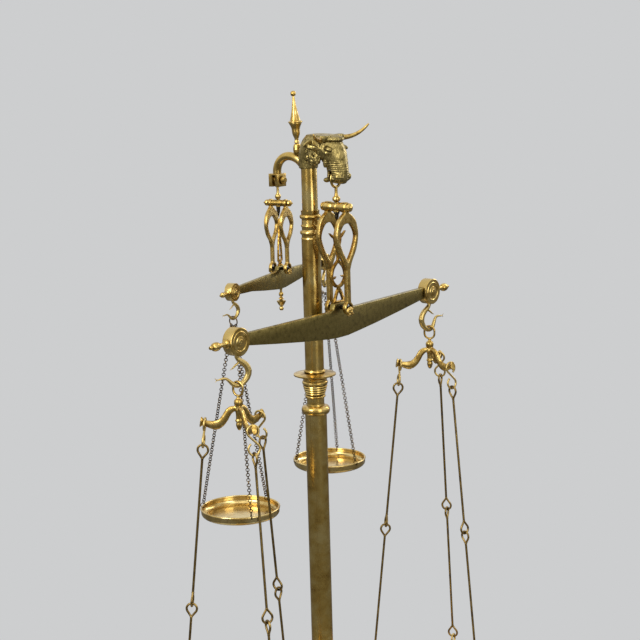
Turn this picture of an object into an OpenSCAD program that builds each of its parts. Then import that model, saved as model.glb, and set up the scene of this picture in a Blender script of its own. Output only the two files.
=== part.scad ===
// Counter scale on a brass pillar, with a large and a small equal-arm balance.
// The large balance hangs from a bull's mouth, the small one from an arm behind the pillar.
// Millimetres, +Z up, +X along the large beam, -Y to the front.
// The origin is on the pillar's axis, at the underside of the base.

/* [Base] */
// Width of the lower plinth tier
plinth_w = 380; // [340:5:460]
// Depth of the lower plinth tier
plinth_d = 300; // [270:5:380]
// Thickness of the lower plinth tier
plinth_h = 16; // [15:1:24]
// Thickness of the upper plinth tier
tier_h = 14; // [10:1:20]
// Border by which the upper tier steps in
tier_step = 15; // [8:1:25]
// Thickness of the baize sheet
baize_t = 2; // [1:0.5:3]
// Border by which the baize sheet steps in
baize_step = 3; // [1:1:8]
// Radius of the turned foot's flange
foot_r = 82; // [74:1:86]
// Height of the turned foot
foot_h = 98; // [88:1:120]
// Thickness of the foot's flange
flange_t = 10; // [6:1:12]
// Diameter of the foot screws
screw_d = 5; // [4:0.5:6]

/* [Pillar] */
// Outer diameter of the lower tube
tube_d = 44.45; // [42:0.05:47]
// Length of the lower tube
tube_l = 701; // [690:1:760]
// Depth of the foot's socket for the lower tube
socket_depth = 40; // [25:1:50]
// Wall of the pillar's tubes
tube_wall = 2; // [1.5:0.1:2.5]
// Outer diameter of the upper tube
upper_d = 38.1; // [36:0.05:40]
// Length of the upper tube
upper_l = 268; // [250:1:290]
// Outer diameter of the neck tube
neck_d = 31.75; // [30:0.05:33]
// Length of the neck tube
neck_l = 131; // [125:1:140]
// Depth of the upper collar's socket for the neck tube
neck_socket = 15; // [10:1:20]
// Height of the lower collar
collar_h = 18; // [16:1:22]
// Height of the capital
capital_h = 75; // [70:1:82]
// Radius of the capital's drip flange
drip_r = 43; // [38:1:46]
// Height of the upper collar
upper_collar_h = 57; // [54:1:62]
// Radius of the upper collar's rings
ring_r = 21.5; // [21:0.5:24]
// Length of the spigots that centre the tubes
spigot_l = 15; // [10:1:20]
// Diameter of the tie rod
rod_d = 10; // [8:1:12]
// Height of a tie rod nut
nut_h = 8; // [6:1:9]

/* [Head and arm] */
// Distance from the pillar's axis to the large balance
front_reach = 67; // [65:1:70]
// Drop from the neck tube's top to the mouth pin
jaw_drop = 42; // [40:1:44]
// Radius of the mouth pin
mouth_pin_r = 3; // [2.5:0.1:3.5]
// Width of the mouth's slot
mouth_gap = 8; // [7:0.5:9]
// Distance from the pillar's axis to the small balance
rear_reach = 82.5; // [80:0.5:90]
// Outer diameter of the rear arm
arm_d = 17; // [15:0.5:18]
// Bend radius of the rear arm on its outer side
arm_bend = 32.5; // [30:0.5:34]
// Bend radius of the rear arm on the pillar's side
arm_rise_r = 45; // [42:1:47]
// Drop from the neck tube's top to the arm's highest point
arm_drop = 10; // [8:1:14]
// Width of the arm's socket block
socket_w = 25; // [23:1:28]
// Height of the arm's socket block
socket_h = 26; // [24:1:30]
// Radius of the rear pivot pin
rear_pin_r = 3; // [2.5:0.1:3.5]
// Length of the finial above its ball
finial_l = 98; // [90:1:110]
// Tilt of the finial towards the back
finial_tilt = 3.4; // [0:0.1:6]
// Span of one horn from its boss to its tip
horn_l = 58; // [50:1:64]

/* [Large balance] */
// Distance from the mouth pin to the shears bar
hanger_l = 64; // [62:1:70]
// Distance from the shears bar to the knife edge
shears_l = 205; // [200:1:212]
// Half-length of the large beam, from knife edge to knife edge
beam_half = 313; // [300:1:325]
// Depth of the large beam at its centre, below the knife edge
beam_belly = 56; // [50:1:62]
// Depth of the large beam at its ends
beam_end_h = 23; // [21:0.5:24]
// Thickness of the large beam
beam_t = 11.5; // [10:0.5:13]
// Drop from the centre knife edge to the end boxes' centres
end_drop = 11; // [8:0.5:14]
// Diameter of the shears bar
bar_d = 17; // [15:0.5:18]
// Length of the shears bar
bar_l = 78; // [76:1:84]
// Distance between the middles of the two large cheeks
cheek_gap = 45; // [42:1:48]
// Thickness of a large cheek
cheek_t = 9; // [7:0.5:10]
// Half-width of the large cheeks' loop
loop_w = 34.5; // [32:0.5:37]
// Thickness of the large pointer
pointer_t = 5; // [3:0.5:6]
// Radius of a large end box
box_r = 27; // [26:0.5:29]
// Half-depth of a large end box without its covers
box_half = 8.9; // [8.5:0.1:10]
// Wall of a large end box
box_wall = 5; // [3:0.5:6]
// Thickness of a box cover
cover_t = 2; // [1.5:0.1:2.5]
// Wire of a spider's eye
eye_wire = 4.5; // [4:0.1:5]
// Length of one link rod between its eyes' centres
rod_l = 300; // [290:1:305]
// Wire of the link rods' eyes
rod_wire = 4.4; // [4:0.1:4.8]
// Diameter of the link rods
link_d = 4.8; // [4.4:0.1:5.4]
// Wire of the large S-hooks
s_wire = 4.2; // [3.6:0.1:4.6]
// Outward tilt of the legs that carry a pan
leg_tilt = 6.2; // [5.6:0.1:6.8]
// Sheet thickness of the large pans
pan_t = 1.5; // [1.2:0.1:2]
// Depth of the large pans below their hanging holes
pan_depth = 24; // [18:1:26]
// Turn of the left spider about its axis
left_turn = 3.6; // [-20:0.2:20]
// Turn of the right spider about its axis
right_turn = 16.6; // [-20:0.2:20]

/* [Small balance] */
// Turn of the small balance about its hanger
rear_turn = 11.3; // [8:0.1:14]
// Distance from the pivot pin to the small shears bar
rear_hanger_l = 47; // [45:1:52]
// Distance from the small shears bar to its knife edge
rear_shears_l = 137; // [134:1:142]
// Half-length of the small beam, from knife edge to knife edge
rear_half = 197.5; // [190:0.5:205]
// Depth of the small beam at its centre, below the knife edge
rear_belly = 38; // [35:1:42]
// Depth of the small beam at its ends
rear_end_h = 15; // [13:0.5:15.5]
// Thickness of the small beam
rear_beam_t = 8; // [7:0.5:9]
// Drop from the small centre knife edge to the small end boxes' centres
rear_end_drop = 13.5; // [11:0.5:16]
// Diameter of the small shears bar
rear_bar_d = 12; // [10:0.5:13]
// Length of the small shears bar
rear_bar_l = 66; // [62:1:72]
// Distance between the middles of the two small cheeks
rear_cheek_gap = 34; // [31:1:37]
// Thickness of a small cheek
rear_cheek_t = 7; // [5.5:0.5:8]
// Half-width of the small cheeks' loop
rear_loop_w = 26; // [24:0.5:28]
// Radius of a small end box
rear_box_r = 17.5; // [17:0.5:19]
// Wall of a small end box
rear_box_wall = 3; // [2.5:0.5:3.5]
// Half-depth of a small end box without its covers
rear_box_half = 6.6; // [6.4:0.1:8]
// Length of the turned pendant under the small beam
pendant_l = 46; // [40:1:52]
// Wire of the chain links
chain_wire = 1.3; // [1.1:0.05:1.35]
// Middle radius of the chain links
link_r = 3.3; // [3.2:0.05:3.6]
// Rim radius of the small pans
small_pan_r = 79.3; // [75:0.1:84]
// Sheet thickness of the small pans
small_pan_t = 1.2; // [1:0.1:1.5]
// Depth of the small pans below their rim
small_pan_depth = 17; // [12:1:20]
// Drop from the small hooks' seats to the small pans' hanging holes
chain_drop = 388; // [375:1:400]

/* [Fits] */
// Radial clearance of spigots and sockets
slip = 0.1; // [0.05:0.05:0.2]
// Radial clearance of running pins
run_fit = 0.05; // [0.03:0.01:0.1]
// Gap where one hanging piece rests in another
rest_gap = 0.3; // [0.2:0.05:0.4]
// Gap between a knife edge and its bearing
edge_gap = 0.05; // [0.03:0.01:0.1]

/* [Hidden] */
$fn = 48;

BRASS = "#b08d3c";
BRONZE = "#6f6236";
STEEL = "#55524c";
WOOD = "#4a2617";

// Heights of the stand, from the floor up
plinth_z = baize_t;
tier_z = plinth_z + plinth_h;
base_top = tier_z + tier_h;
foot_top = base_top + foot_h;
tube_z = foot_top - socket_depth;
collar_z = tube_z + tube_l;
capital_z = collar_z + collar_h;
upper_z = capital_z + capital_h;
upper_collar_z = upper_z + upper_l;
upper_collar_top = upper_collar_z + upper_collar_h;
neck_z = upper_collar_top - neck_socket;
neck_top = neck_z + neck_l;
nut_z = plinth_z + 4;
rod_top = neck_z + nut_h + 4;

// Heights of the large balance
mouth_z = neck_top - jaw_drop;
front_bar_z = mouth_z - hanger_l;
front_edge_z = front_bar_z - shears_l;
front_box_z = front_edge_z - end_drop;

// Heights of the small balance
arm_z = neck_top - arm_drop;
arm_y = rear_reach - arm_bend;
socket_top = arm_z - arm_bend - 3.5;
rear_pin_z = socket_top - socket_h / 2;
rear_bar_z = rear_pin_z - rear_hanger_l;
rear_edge_z = rear_bar_z - rear_shears_l;
rear_box_z = rear_edge_z - rear_end_drop;

// Curves. Catmull-Rom value between b and c, with neighbours a and d
function spline(a, b, c, d, t) = 0.5 * (2 * b + (c - a) * t + (2 * a - 5 * b + 4 * c - d) * t * t
    + (3 * b - a - 3 * c + d) * t * t * t);
// Open curve through the rows of p, with n steps between two rows
function open_curve(p, n) = [for (i = [0 : len(p) - 2]) for (k = [0 : n - 1])
    spline(p[max(i - 1, 0)], p[i], p[i + 1], p[min(i + 2, len(p) - 1)], k / n), p[len(p) - 1]];
// Mirror image of an outline's points in x, in reverse order
function mirrored(p) = [for (i = [len(p) - 1 : -1 : 0]) [-p[i][0], p[i][1]]];
// Round swelling of a turned profile from height a to b, with radius r at its ends and s at its middle
function bulge(a, b, r, s, n = 8) = [for (i = [0 : n])
    [r + (s - r) * sin(180 * i / n), a + (b - a) * (1 - cos(180 * i / n)) / 2]];

// Solid turned from a profile that starts and ends on the axis
module turned(profile) rotate_extrude() polygon(profile);

// Pin or bore along Y through the origin
module along_y(r, l) rotate([90, 0, 0]) cylinder(r = r, h = l, center = true);

// Flat plate in the XZ plane, centred on y = 0
module plate(t) rotate([90, 0, 0]) linear_extrude(t, center = true) children();

// Ring of round wire in the XZ plane, over the given angle
module wire_arc(r, wire, from, angle) rotate([90, 0, 0]) rotate([0, 0, from])
    rotate_extrude(angle = angle) translate([r, 0]) circle(d = wire, $fn = 24);

// Straight round wire between two points
module wire_line(a, b, wire) {
    d = b - a;
    translate(a) rotate([0, acos(d[2] / norm(d)), atan2(d[1], d[0])])
        cylinder(d = wire, h = norm(d), $fn = 24);
}

// Curved limb in the XZ plane. A row is [x, z, half size in the plane, half size across it]
module limb(rows, steps = 4, sides = 10) {
    p = open_curve(rows, steps);
    n = len(p);
    points = [for (i = [0 : n - 1]) let (
        t = p[min(i + 1, n - 1)] - p[max(i - 1, 0)],
        l = norm([t[0], t[1]])
    ) for (k = [0 : sides - 1]) let (c = cos(360 * k / sides) * p[i][2])
        [p[i][0] - t[1] / l * c, sin(360 * k / sides) * p[i][3], p[i][1] + t[0] / l * c]];
    skin = [for (i = [0 : n - 2]) for (k = [0 : sides - 1]) let (
        a = i * sides + k,
        b = i * sides + (k + 1) % sides
    ) for (f = [[a, b, b + sides], [a, b + sides, a + sides]]) f];
    first = [for (k = [1 : sides - 2]) [0, k + 1, k]];
    last = [for (k = [1 : sides - 2]) [(n - 1) * sides, (n - 1) * sides + k, (n - 1) * sides + k + 1]];
    polyhedron(points = points, faces = concat(skin, first, last));
}

module base_plinth() color(WOOD) difference() {
    union() {
        translate([-plinth_w / 2, -plinth_d / 2, plinth_z]) cube([plinth_w, plinth_d, plinth_h]);
        translate([tier_step - plinth_w / 2, tier_step - plinth_d / 2, tier_z])
            cube([plinth_w - 2 * tier_step, plinth_d - 2 * tier_step, tier_h]);
    }
    translate([0, 0, plinth_z - 1]) cylinder(r = rod_d / 2 + slip, h = plinth_h + tier_h + 2);
    translate([0, 0, plinth_z - 1]) cylinder(r = rod_d + 4, h = nut_z - plinth_z + nut_h + 1);
    screw_places() translate([0, 0, -screw_l]) cylinder(r = screw_d / 2 + slip, h = screw_l + 1);
}

module underside_felt() color("darkgreen")
    translate([baize_step - plinth_w / 2, baize_step - plinth_d / 2, 0])
        cube([plinth_w - 2 * baize_step, plinth_d - 2 * baize_step, baize_t]);

screw_l = 22;
screw_count = 4;
screw_ring = foot_r - 10;
screw_head = 2.5;
// Places of the foot screws, at the flange's underside
module screw_places() for (k = [0 : screw_count - 1])
    rotate([0, 0, 45 + 360 * k / screw_count]) translate([screw_ring, 0, base_top]) children();

module foot_screws() color(BRASS) screw_places() union() {
    translate([0, 0, 1 - screw_l]) cylinder(r = screw_d / 2, h = screw_l - 1 + flange_t);
    translate([0, 0, flange_t]) intersection() {
        cylinder(r = screw_d, h = screw_head);
        translate([0, 0, screw_head - screw_d * 1.6]) sphere(r = screw_d * 1.6);
    }
}

// The foot's profile rises from its flange through a cove, a ring and a neck
module column_foot() color(BRASS) difference() {
    translate([0, 0, base_top]) turned(concat(
        [[0, 0]],
        bulge(0, flange_t, foot_r - 3, foot_r, 6),
        [[foot_r - 20, flange_t]],
        open_curve([[foot_r - 22, flange_t + 4], [foot_r - 34, flange_t + 10],
            [tube_d / 2 + 12, foot_h * 0.4], [tube_d / 2 + 8, foot_h * 0.58]], 5),
        bulge(foot_h * 0.62, foot_h * 0.76, tube_d / 2 + 9, tube_d / 2 + 15),
        [[tube_d / 2 + 6, foot_h * 0.8]],
        [[tube_d / 2 + 5, foot_h - 9]],
        bulge(foot_h - 7, foot_h, tube_d / 2 + 5, tube_d / 2 + 8),
        [[0, foot_h]]
    ));
    translate([0, 0, tube_z]) cylinder(r = tube_d / 2 + slip, h = socket_depth + 1);
    translate([0, 0, base_top - 1]) cylinder(r = rod_d / 2 + slip, h = foot_h);
    screw_places() translate([0, 0, -1]) cylinder(r = screw_d / 2 + slip, h = flange_t + 2);
}

module tube(d, l) difference() {
    cylinder(d = d, h = l);
    translate([0, 0, -1]) cylinder(r = d / 2 - tube_wall, h = l + 2);
}

module lower_column() color(BRASS) translate([0, 0, tube_z]) tube(tube_d, tube_l);

// Turned joint piece on the tie rod, with a spigot below that centres it in a tube
module joint_piece(z, spigot_r, bottom_l) difference() {
    translate([0, 0, z]) union() {
        children();
        translate([0, 0, -bottom_l]) cylinder(r = spigot_r, h = bottom_l + 1);
    }
    translate([0, 0, z - bottom_l - 1]) cylinder(r = rod_d / 2 + slip, h = 200);
}

module lower_collar() color(BRASS)
    joint_piece(collar_z, tube_d / 2 - tube_wall - slip, spigot_l)
        turned(concat([[0, 0], [tube_d / 2 + 2, 0]],
            bulge(1, collar_h - 1, tube_d / 2 + 2, tube_d / 2 + 6.8),
            [[tube_d / 2 - 1, collar_h], [0, collar_h]]));

// The capital swells from a plain neck through ridges to a drip flange and a small ring
module column_capital() color(BRASS) joint_piece(capital_z, rod_d, 0) union() {
    turned(concat(
        [[0, 0], [upper_d / 2 - 0.6, 0], [upper_d / 2 - 1.2, 4], [upper_d / 2 - 1.2, 17]],
        bulge(17, 22, upper_d / 2 - 0.6, upper_d / 2 + 2, 6),
        [for (k = [0 : 3]) for (p = bulge(23 + 5 * k, 28 + 5 * k, upper_d / 2 + 1.2 * k,
            upper_d / 2 + 1.8 + 1.4 * k, 4)) p],
        bulge(44, 52, upper_d / 2 + 5, upper_d / 2 + 7.2, 6),
        open_curve([[upper_d / 2 + 5, 54], [upper_d / 2 + 8, 58], [drip_r - 8, 61], [drip_r, 63.5]], 3),
        [[drip_r, 66], [drip_r - 6, 67.5], [upper_d / 2 + 4, 69]],
        bulge(69.5, capital_h - 1, upper_d / 2 + 1, upper_d / 2 + 3.2, 6),
        [[upper_d / 2 + 0.6, capital_h], [0, capital_h]]
    ));
    cylinder(r = upper_d / 2 - tube_wall - slip, h = capital_h + spigot_l);
}

module upper_column() color(BRASS) translate([0, 0, upper_z]) tube(upper_d, upper_l);

module upper_collar() color(BRASS) difference() {
    joint_piece(upper_collar_z, upper_d / 2 - tube_wall - slip, spigot_l) turned(concat(
        [[0, 0], [upper_d / 2 + 0.8, 0]],
        open_curve([[upper_d / 2 - 0.8, 3], [upper_d / 2 - 0.6, 7]], 3),
        bulge(8.5, 16.5, upper_d / 2 - 0.4, ring_r, 8),
        [[upper_d / 2 - 1.6, 18], [upper_d / 2 - 1.2, 22]],
        bulge(24, 28, upper_d / 2 - 1, upper_d / 2 + 0.6, 6),
        [[upper_d / 2 - 1.2, 30], [upper_d / 2 - 1.6, 38]],
        bulge(40, 49, upper_d / 2 - 1, ring_r, 8),
        [[neck_d / 2 + 2.4, 51], [neck_d / 2 + 3, upper_collar_h], [0, upper_collar_h]]
    ));
    translate([0, 0, neck_z]) cylinder(r = neck_d / 2 + slip, h = neck_socket + 1);
}

module neck_tube() color(BRASS) difference() {
    translate([0, 0, neck_z]) tube(neck_d, neck_l);
    arm_bore(9);
}

module tie_rod() color(STEEL) translate([0, 0, nut_z - 2]) cylinder(d = rod_d, h = rod_top - nut_z + 2);

module tie_nuts() color(STEEL) for (z = [nut_z, neck_z]) translate([0, 0, z]) difference() {
    cylinder(r = rod_d * 0.98, h = nut_h, $fn = 6);
    translate([0, 0, -1]) cylinder(r = rod_d / 2 + run_fit, h = nut_h + 2);
}

// The arm leaves the neck tube upwards, bends over and ends downwards on its socket block
arm_rise_angle = 48;
arm_root = round((arm_y - arm_rise_r * sin(arm_rise_angle) - neck_d / 2 + 4) / cos(arm_rise_angle));
module at_arm_root() translate([0, arm_y, arm_z - arm_rise_r]) rotate([90, 0, 90])
    rotate([0, 0, 90 + arm_rise_angle]) translate([arm_rise_r, 0, 0]) rotate([-90, 0, 0]) children();
// Straight bore for the arm's root
module arm_bore(out) at_arm_root() translate([0, 0, -out]) cylinder(r = arm_d / 2 + slip, h = out + arm_root + 9);
module arm_path(r) translate([0, arm_y, 0]) rotate([90, 0, 90]) {
    translate([0, arm_z - arm_rise_r, 0]) rotate([0, 0, 90]) {
        rotate_extrude(angle = arm_rise_angle) translate([arm_rise_r, 0]) circle(r = r);
        rotate([0, 0, arm_rise_angle]) translate([arm_rise_r, 0, 0]) rotate([-90, 0, 0])
            cylinder(r = r, h = arm_root);
    }
    translate([0, arm_z - arm_bend, 0]) {
        rotate_extrude(angle = 90) translate([arm_bend, 0]) circle(r = r);
        translate([arm_bend, socket_top - arm_z + arm_bend, 0]) rotate([-90, 0, 0])
            cylinder(r = r, h = arm_z - arm_bend - socket_top);
    }
}

module rear_arm() color(BRASS) difference() {
    arm_path(arm_d / 2);
    finial_frame() translate([0, 0, 1]) cylinder(r = stud_r + slip, h = arm_d);
}

// The finial stands on the arm's rising part
finial_y = 27;
stud_r = 2.5;
finial_z = arm_z - arm_rise_r + sqrt(arm_rise_r ^ 2 - (arm_y - finial_y) ^ 2);
module finial_frame() translate([0, finial_y, finial_z]) rotate([-finial_tilt, 0, 0]) children();

ball_low = 7;
ball_top = 33;
module finial() color(BRASS) {
    difference() {
        finial_frame() turned(concat(
            [[0, ball_low]],
            bulge(ball_low, ball_top, 3, 8.5),
            [[5.6, ball_top + 1], [3.9, ball_top + 6]],
            open_curve([[4.2, ball_top + 9], [7.6, ball_top + 19], [8.6, ball_top + 30],
                [12.6, ball_top + 39]], 4),
            bulge(ball_top + 40, ball_top + 44, 12.6, 14.25, 6),
            open_curve([[10.4, ball_top + 45], [7.4, ball_top + 0.58 * finial_l],
                [4.2, ball_top + 0.76 * finial_l], [2.1, ball_top + finial_l - 5]], 4),
            bulge(ball_top + finial_l - 5.2, ball_top + finial_l + 5.5, 1.5, 5.5)
        ));
        arm_path(arm_d / 2 + slip);
    }
    finial_frame() translate([0, 0, 2]) cylinder(r = stud_r, h = ball_top - 4);
}

module arm_socket() color(BRASS) translate([0, rear_reach, rear_pin_z]) difference() {
    cube([socket_w, socket_w, socket_h], center = true);
    translate([0, 0, -3]) cube([socket_w + 1, eye_plate_t + 1.6, socket_h], center = true);
    along_y(rear_pin_r + run_fit, socket_w + 1);
}

pin_knob_r = 8;
pin_knob_l = 8;
module rear_pivot_pin() color(BRASS) translate([0, rear_reach, rear_pin_z]) {
    along_y(rear_pin_r, socket_w);
    translate([0, -socket_w / 2, 0]) rotate([90, 0, 0]) turned([[0, 0], [pin_knob_r - 2, 0],
        [pin_knob_r, 2], [pin_knob_r, 4.5], [pin_knob_r - 2.5, pin_knob_l], [0, pin_knob_l]]);
}

// The head is drawn forwards along +X from the neck's axis, with its heights from the neck tube's top
horn_x = 31;
horn_y = -58;
horn_z = neck_top + 31;
module head_frame() translate([0, 0, neck_top]) rotate([0, 0, -90]) children();
module bull_head() color(BRONZE) difference() {
    union() {
        head_frame() {
            limb([[-1, -32, 19, 19], [0, -14, 21, 20.5], [8, 4, 26, 23], [24, 16, 29, 27],
                [46, 14, 30, 30], [62, 0, 26, 28], [70, -18, 22.5, 23], [73, -36, 22, 20],
                [72, -50, 21.5, 20], [71, -57, 17, 16]], 3, 20);
            for (s = [-1, 1]) {
                translate([67, 22 * s, 4]) sphere(r = 7);
                translate([84, 9 * s, -46]) sphere(r = 8);
                translate([30, 24 * s, 22]) rotate([0, 0, 100 * s]) rotate([0, 12, 0])
                    limb([[-4, 0, 5, 3], [8, 0, 8, 3.5], [18, 0, 6, 2.6], [26, 0, 1.2, 1]], 2, 8);
            }
        }
        translate([0, horn_y, horn_z]) rotate([0, 90, 0]) cylinder(r = 9, h = 2 * horn_x, center = true);
    }
    translate([0, 0, neck_z]) cylinder(r = neck_d / 2 + slip, h = neck_l);
    arm_bore(14);
    translate([-40, -front_reach - mouth_gap / 2, mouth_z - 40]) cube([80, mouth_gap, 40 + slot_top]);
    translate([0, -front_reach, mouth_z]) along_y(mouth_pin_r + slip, mouth_pin_l + 1);
}

slot_top = 11;
mouth_pin_l = 28;
module mouth_pin() color(STEEL) translate([0, -front_reach, mouth_z]) along_y(mouth_pin_r, mouth_pin_l);

module bull_horns() color(BRASS) for (s = [0, 1]) mirror([s, 0, 0])
    translate([horn_x, horn_y, horn_z]) intersection() {
        rotate([0, 0, -14]) limb([[-6, 0, 8, 8], [8, -1, 7.4, 7.4], [23, 1, 6.2, 6.2], [38, 8, 4.8, 4.8],
            [50, 18, 3, 3], [horn_l, 24, 1, 1]], 3, 12);
        translate([0, -50, -50]) cube(100);
    }

// Everything of the large balance is drawn about its hanger's axis
module at_front(z) translate([0, -front_reach, z]) children();

// Hanging stem with its bead, from the bar's collar up to a given height
module stem_profile(r, bar_r, low, neck, bead_r, top) turned(concat(
    [[0, -low], [r, -low], [r, bar_r + rest_gap], [bead_r * 0.55, bar_r + rest_gap]],
    bulge(bar_r + rest_gap + 1, bar_r + rest_gap + 11, bead_r * 0.62, bead_r),
    open_curve([[bead_r * 0.5, bar_r + 13], [neck, bar_r + 19], [neck, top]], 3),
    [[0, top]]
));

ring_r_mid = 15.25;
ring_wire = 5.5;
stem_r = 3;
stem_tail = 8;
bar_boss = 9.5;
ring_centre = hanger_l + mouth_pin_r + rest_gap - ring_r_mid + ring_wire / 2;
module front_hanger() color(BRASS) at_front(front_bar_z) {
    translate([0, 0, ring_centre]) wire_arc(ring_r_mid, ring_wire, 0, 360);
    stem_profile(stem_r, bar_boss, bar_boss + rest_gap + stem_tail, 3.2, 8, ring_centre - ring_r_mid);
}

// Point below the bar: a collar that carries the bar, over a slender taper
module index_point(r, bar_r, l, w) difference() {
    translate([0, 0, -bar_r - rest_gap]) rotate([180, 0, 0]) turned([[0, 0], [w, 0], [w, 3],
        [r + 1.3, 5], [r + 1.2, stem_tail + 2], [0.6, l], [0, l]]);
    translate([0, 0, -bar_r - rest_gap - stem_tail - 0.2]) cylinder(r = r + run_fit, h = stem_tail + 2);
}

index_l = 18;
module front_index_point() color(STEEL) at_front(front_bar_z) index_point(stem_r, bar_boss, index_l, 6);

// Shears bar along Y: a barrel with a boss for the stem, a spindle and a screwed knob at each end
module shears_bar(d, l, gap, t, boss_r, boss_h, bore) {
    inner = gap / 2 - t / 2 - slip;
    outer = gap / 2 + t / 2 + slip;
    spindle = d / 2 - 1.5;
    difference() {
        union() {
            along_y(d / 2, 2 * inner);
            for (s = [-1, 1]) translate([0, s * (inner - 4), 0]) along_y(d / 2 + 0.6, 2);
            along_y(spindle, 2 * outer);
            along_y(spindle / 2, 2 * outer + 9);
            cylinder(r = boss_r, h = 2 * boss_h, center = true);
        }
        cylinder(r = bore + run_fit, h = 3 * boss_h, center = true);
    }
    for (s = [0, 1]) mirror([0, s, 0]) translate([0, -outer - slip, 0]) rotate([90, 0, 0]) difference() {
        turned(concat([[0, 0], [spindle, 0]], bulge(0.5, l / 2 - outer - 4, spindle, d / 2 + 0.4, 6),
            [[d / 4, l / 2 - outer - 3], [1.2, l / 2 - outer], [0, l / 2 - outer]]));
        translate([0, 0, -1]) cylinder(r = spindle / 2 + slip, h = 6);
    }
}

module front_shears_bar() color(BRASS) at_front(front_bar_z)
    shears_bar(bar_d, bar_l, cheek_gap, cheek_t, 7.5, bar_boss, stem_r);

// Cheek: an eye on the bar, a teardrop loop, a straight limb and a boss with a window for the bearing
module cheek(l, t, eye_r, bore_r, outer, hole, limb_w, boss_r, window_r, window_z) plate(t) difference() {
    union() {
        circle(r = eye_r);
        polygon(concat(open_curve(outer, 5), mirrored(open_curve(outer, 5))));
        translate([-limb_w / 2, -l]) square([limb_w, l + outer[len(outer) - 1][1] + 1]);
        translate([0, window_z - l]) circle(r = boss_r);
    }
    circle(r = bore_r);
    polygon(concat(open_curve(hole, 5), mirrored(open_curve(hole, 5))));
    translate([0, window_z - l]) circle(r = window_r);
}

limb_half = 6.15;
boss_r = 13;
window_r = 9;
window_z = 4;
cheek_outer = [[4, -5], [7, -11], [17, -17.5], [29, -31], [loop_w, -57], [28, -84], [13, -108],
    [limb_half, -124]];
cheek_hole = [[0, -31.5], [14, -36], [loop_w - 8.5, -58], [17, -84], [4, -103], [0, -109]];
module front_cheeks() color(BRASS) for (s = [-1, 1]) at_front(front_bar_z)
    translate([0, s * cheek_gap / 2, 0])
        cheek(shears_l, cheek_t, 10.5, bar_d / 2 - 1.5 + slip, cheek_outer, cheek_hole,
            2 * limb_half, boss_r, window_r, window_z);

// Bearing: the window's lower segment, flat on top under the knife edge
module bearing(t, r, z) plate(t) intersection() {
    translate([0, z]) circle(r = r - slip);
    translate([-r, -2 * r - edge_gap]) square([2 * r, 2 * r]);
}

module front_bearings() color(STEEL) for (s = [-1, 1]) at_front(front_edge_z)
    translate([0, s * cheek_gap / 2, 0]) bearing(cheek_t, window_r, window_z);

// Triangular knife edge along Y: its edge is at z = 0, and it widens downwards or upwards
module knife(size, l, up, play = 0) plate(l)
    polygon([[0, -2 * up * play], [size / 2 + play, up * (size + play)],
        [-size / 2 - play, up * (size + play)]]);

knife_size = 8;
knife_l = cheek_gap + cheek_t + 2;
end_edge = 4;
module front_knives(play) {
    at_front(front_edge_z) knife(knife_size, knife_l, 1, play);
    for (s = [-1, 1]) at_front(front_box_z + end_edge) translate([s * beam_half, 0, 0])
        knife(knife_size, 2 * box_half - 0.6, -1, play);
}
module front_knife_edges() color(STEEL) front_knives(0);

// Half outline of a beam, from its top middle to its bottom middle, with heights from the knife edge
function beam_outline(saddle, saddle_w, seat, drop, end_h, belly) = [
    [0, saddle], [saddle_w, saddle], [saddle_w + 2.5, saddle - 2], [saddle_w + 5, saddle * 0.25],
    [saddle_w + 14, -1], [seat, end_h / 2 - drop], [seat, -end_h / 2 - drop],
    [seat * 0.7, -belly * 0.62], [seat * 0.4, -belly * 0.82], [seat * 0.17, -belly * 0.95],
    [seat * 0.07, -belly], [0, -belly]
];

saddle = 14;
saddle_w = 19;
seat_x = 24.5;
tang_half = 9;
tang_t = 6;
tang_tip = 6;
module front_beam() color(BRONZE) difference() {
    union() {
        at_front(front_edge_z) plate(beam_t) let (half = beam_outline(saddle, saddle_w,
            beam_half - seat_x, end_drop, beam_end_h, beam_belly)) polygon(concat(half, mirrored(half)));
        at_front(front_box_z) cube([2 * (beam_half + tang_tip), tang_t, 2 * tang_half], center = true);
    }
    front_knives(slip);
}

// Drum on the beam's end: a seat flat towards the beam, a slot for the tang and one for the hook
module end_box(r, wall, half, seat, flat, tang, tang_h, k) difference() {
    along_y(r, 2 * half);
    along_y(r - wall, 2 * half + 1);
    translate([-seat - r, 0, 0]) cube(2 * r, center = true);
    translate([flat + r, 0, 0]) cube(2 * r, center = true);
    translate([-r, 0, 0]) cube([r, tang + 2 * slip, 2 * tang_h + 2 * slip], center = true);
    translate([0, 0, -r]) cube([15 * k, 11 * k, 2 * wall + 4 * k], center = true);
    translate([r, 0, 0]) rotate([0, 90, 0]) cylinder(r = finial_stud * k + slip, h = r, center = true);
}

box_flat = 26;
finial_stud = 3;
module front_end_boxes() color(BRASS) for (s = [0, 1]) at_front(front_box_z) mirror([s, 0, 0])
    translate([beam_half, 0, 0])
        end_box(box_r, box_wall, box_half, seat_x, box_flat, tang_t, tang_half, 1);

// Cover of an end box: a disc with a raised ring and a rosette screw in its middle
module box_cover(r, t) rotate([90, 0, 0]) turned([[0, 0], [r, 0], [r, t * 0.7], [r - 1, t],
    [r * 0.76, t], [r * 0.72, t * 1.5], [r * 0.64, t * 1.5], [r * 0.6, t * 0.9], [r * 0.42, t * 0.9],
    [r * 0.38, t * 1.3], [r * 0.2, t * 1.7], [r * 0.17, t * 2.1], [0, t * 2.2]]);

module front_box_covers() color(BRASS) for (x = [-1, 1]) for (s = [0, 1]) at_front(front_box_z)
    translate([x * beam_half, 0, 0]) mirror([0, s, 0]) translate([0, -box_half, 0]) box_cover(box_r, cover_t);

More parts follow.
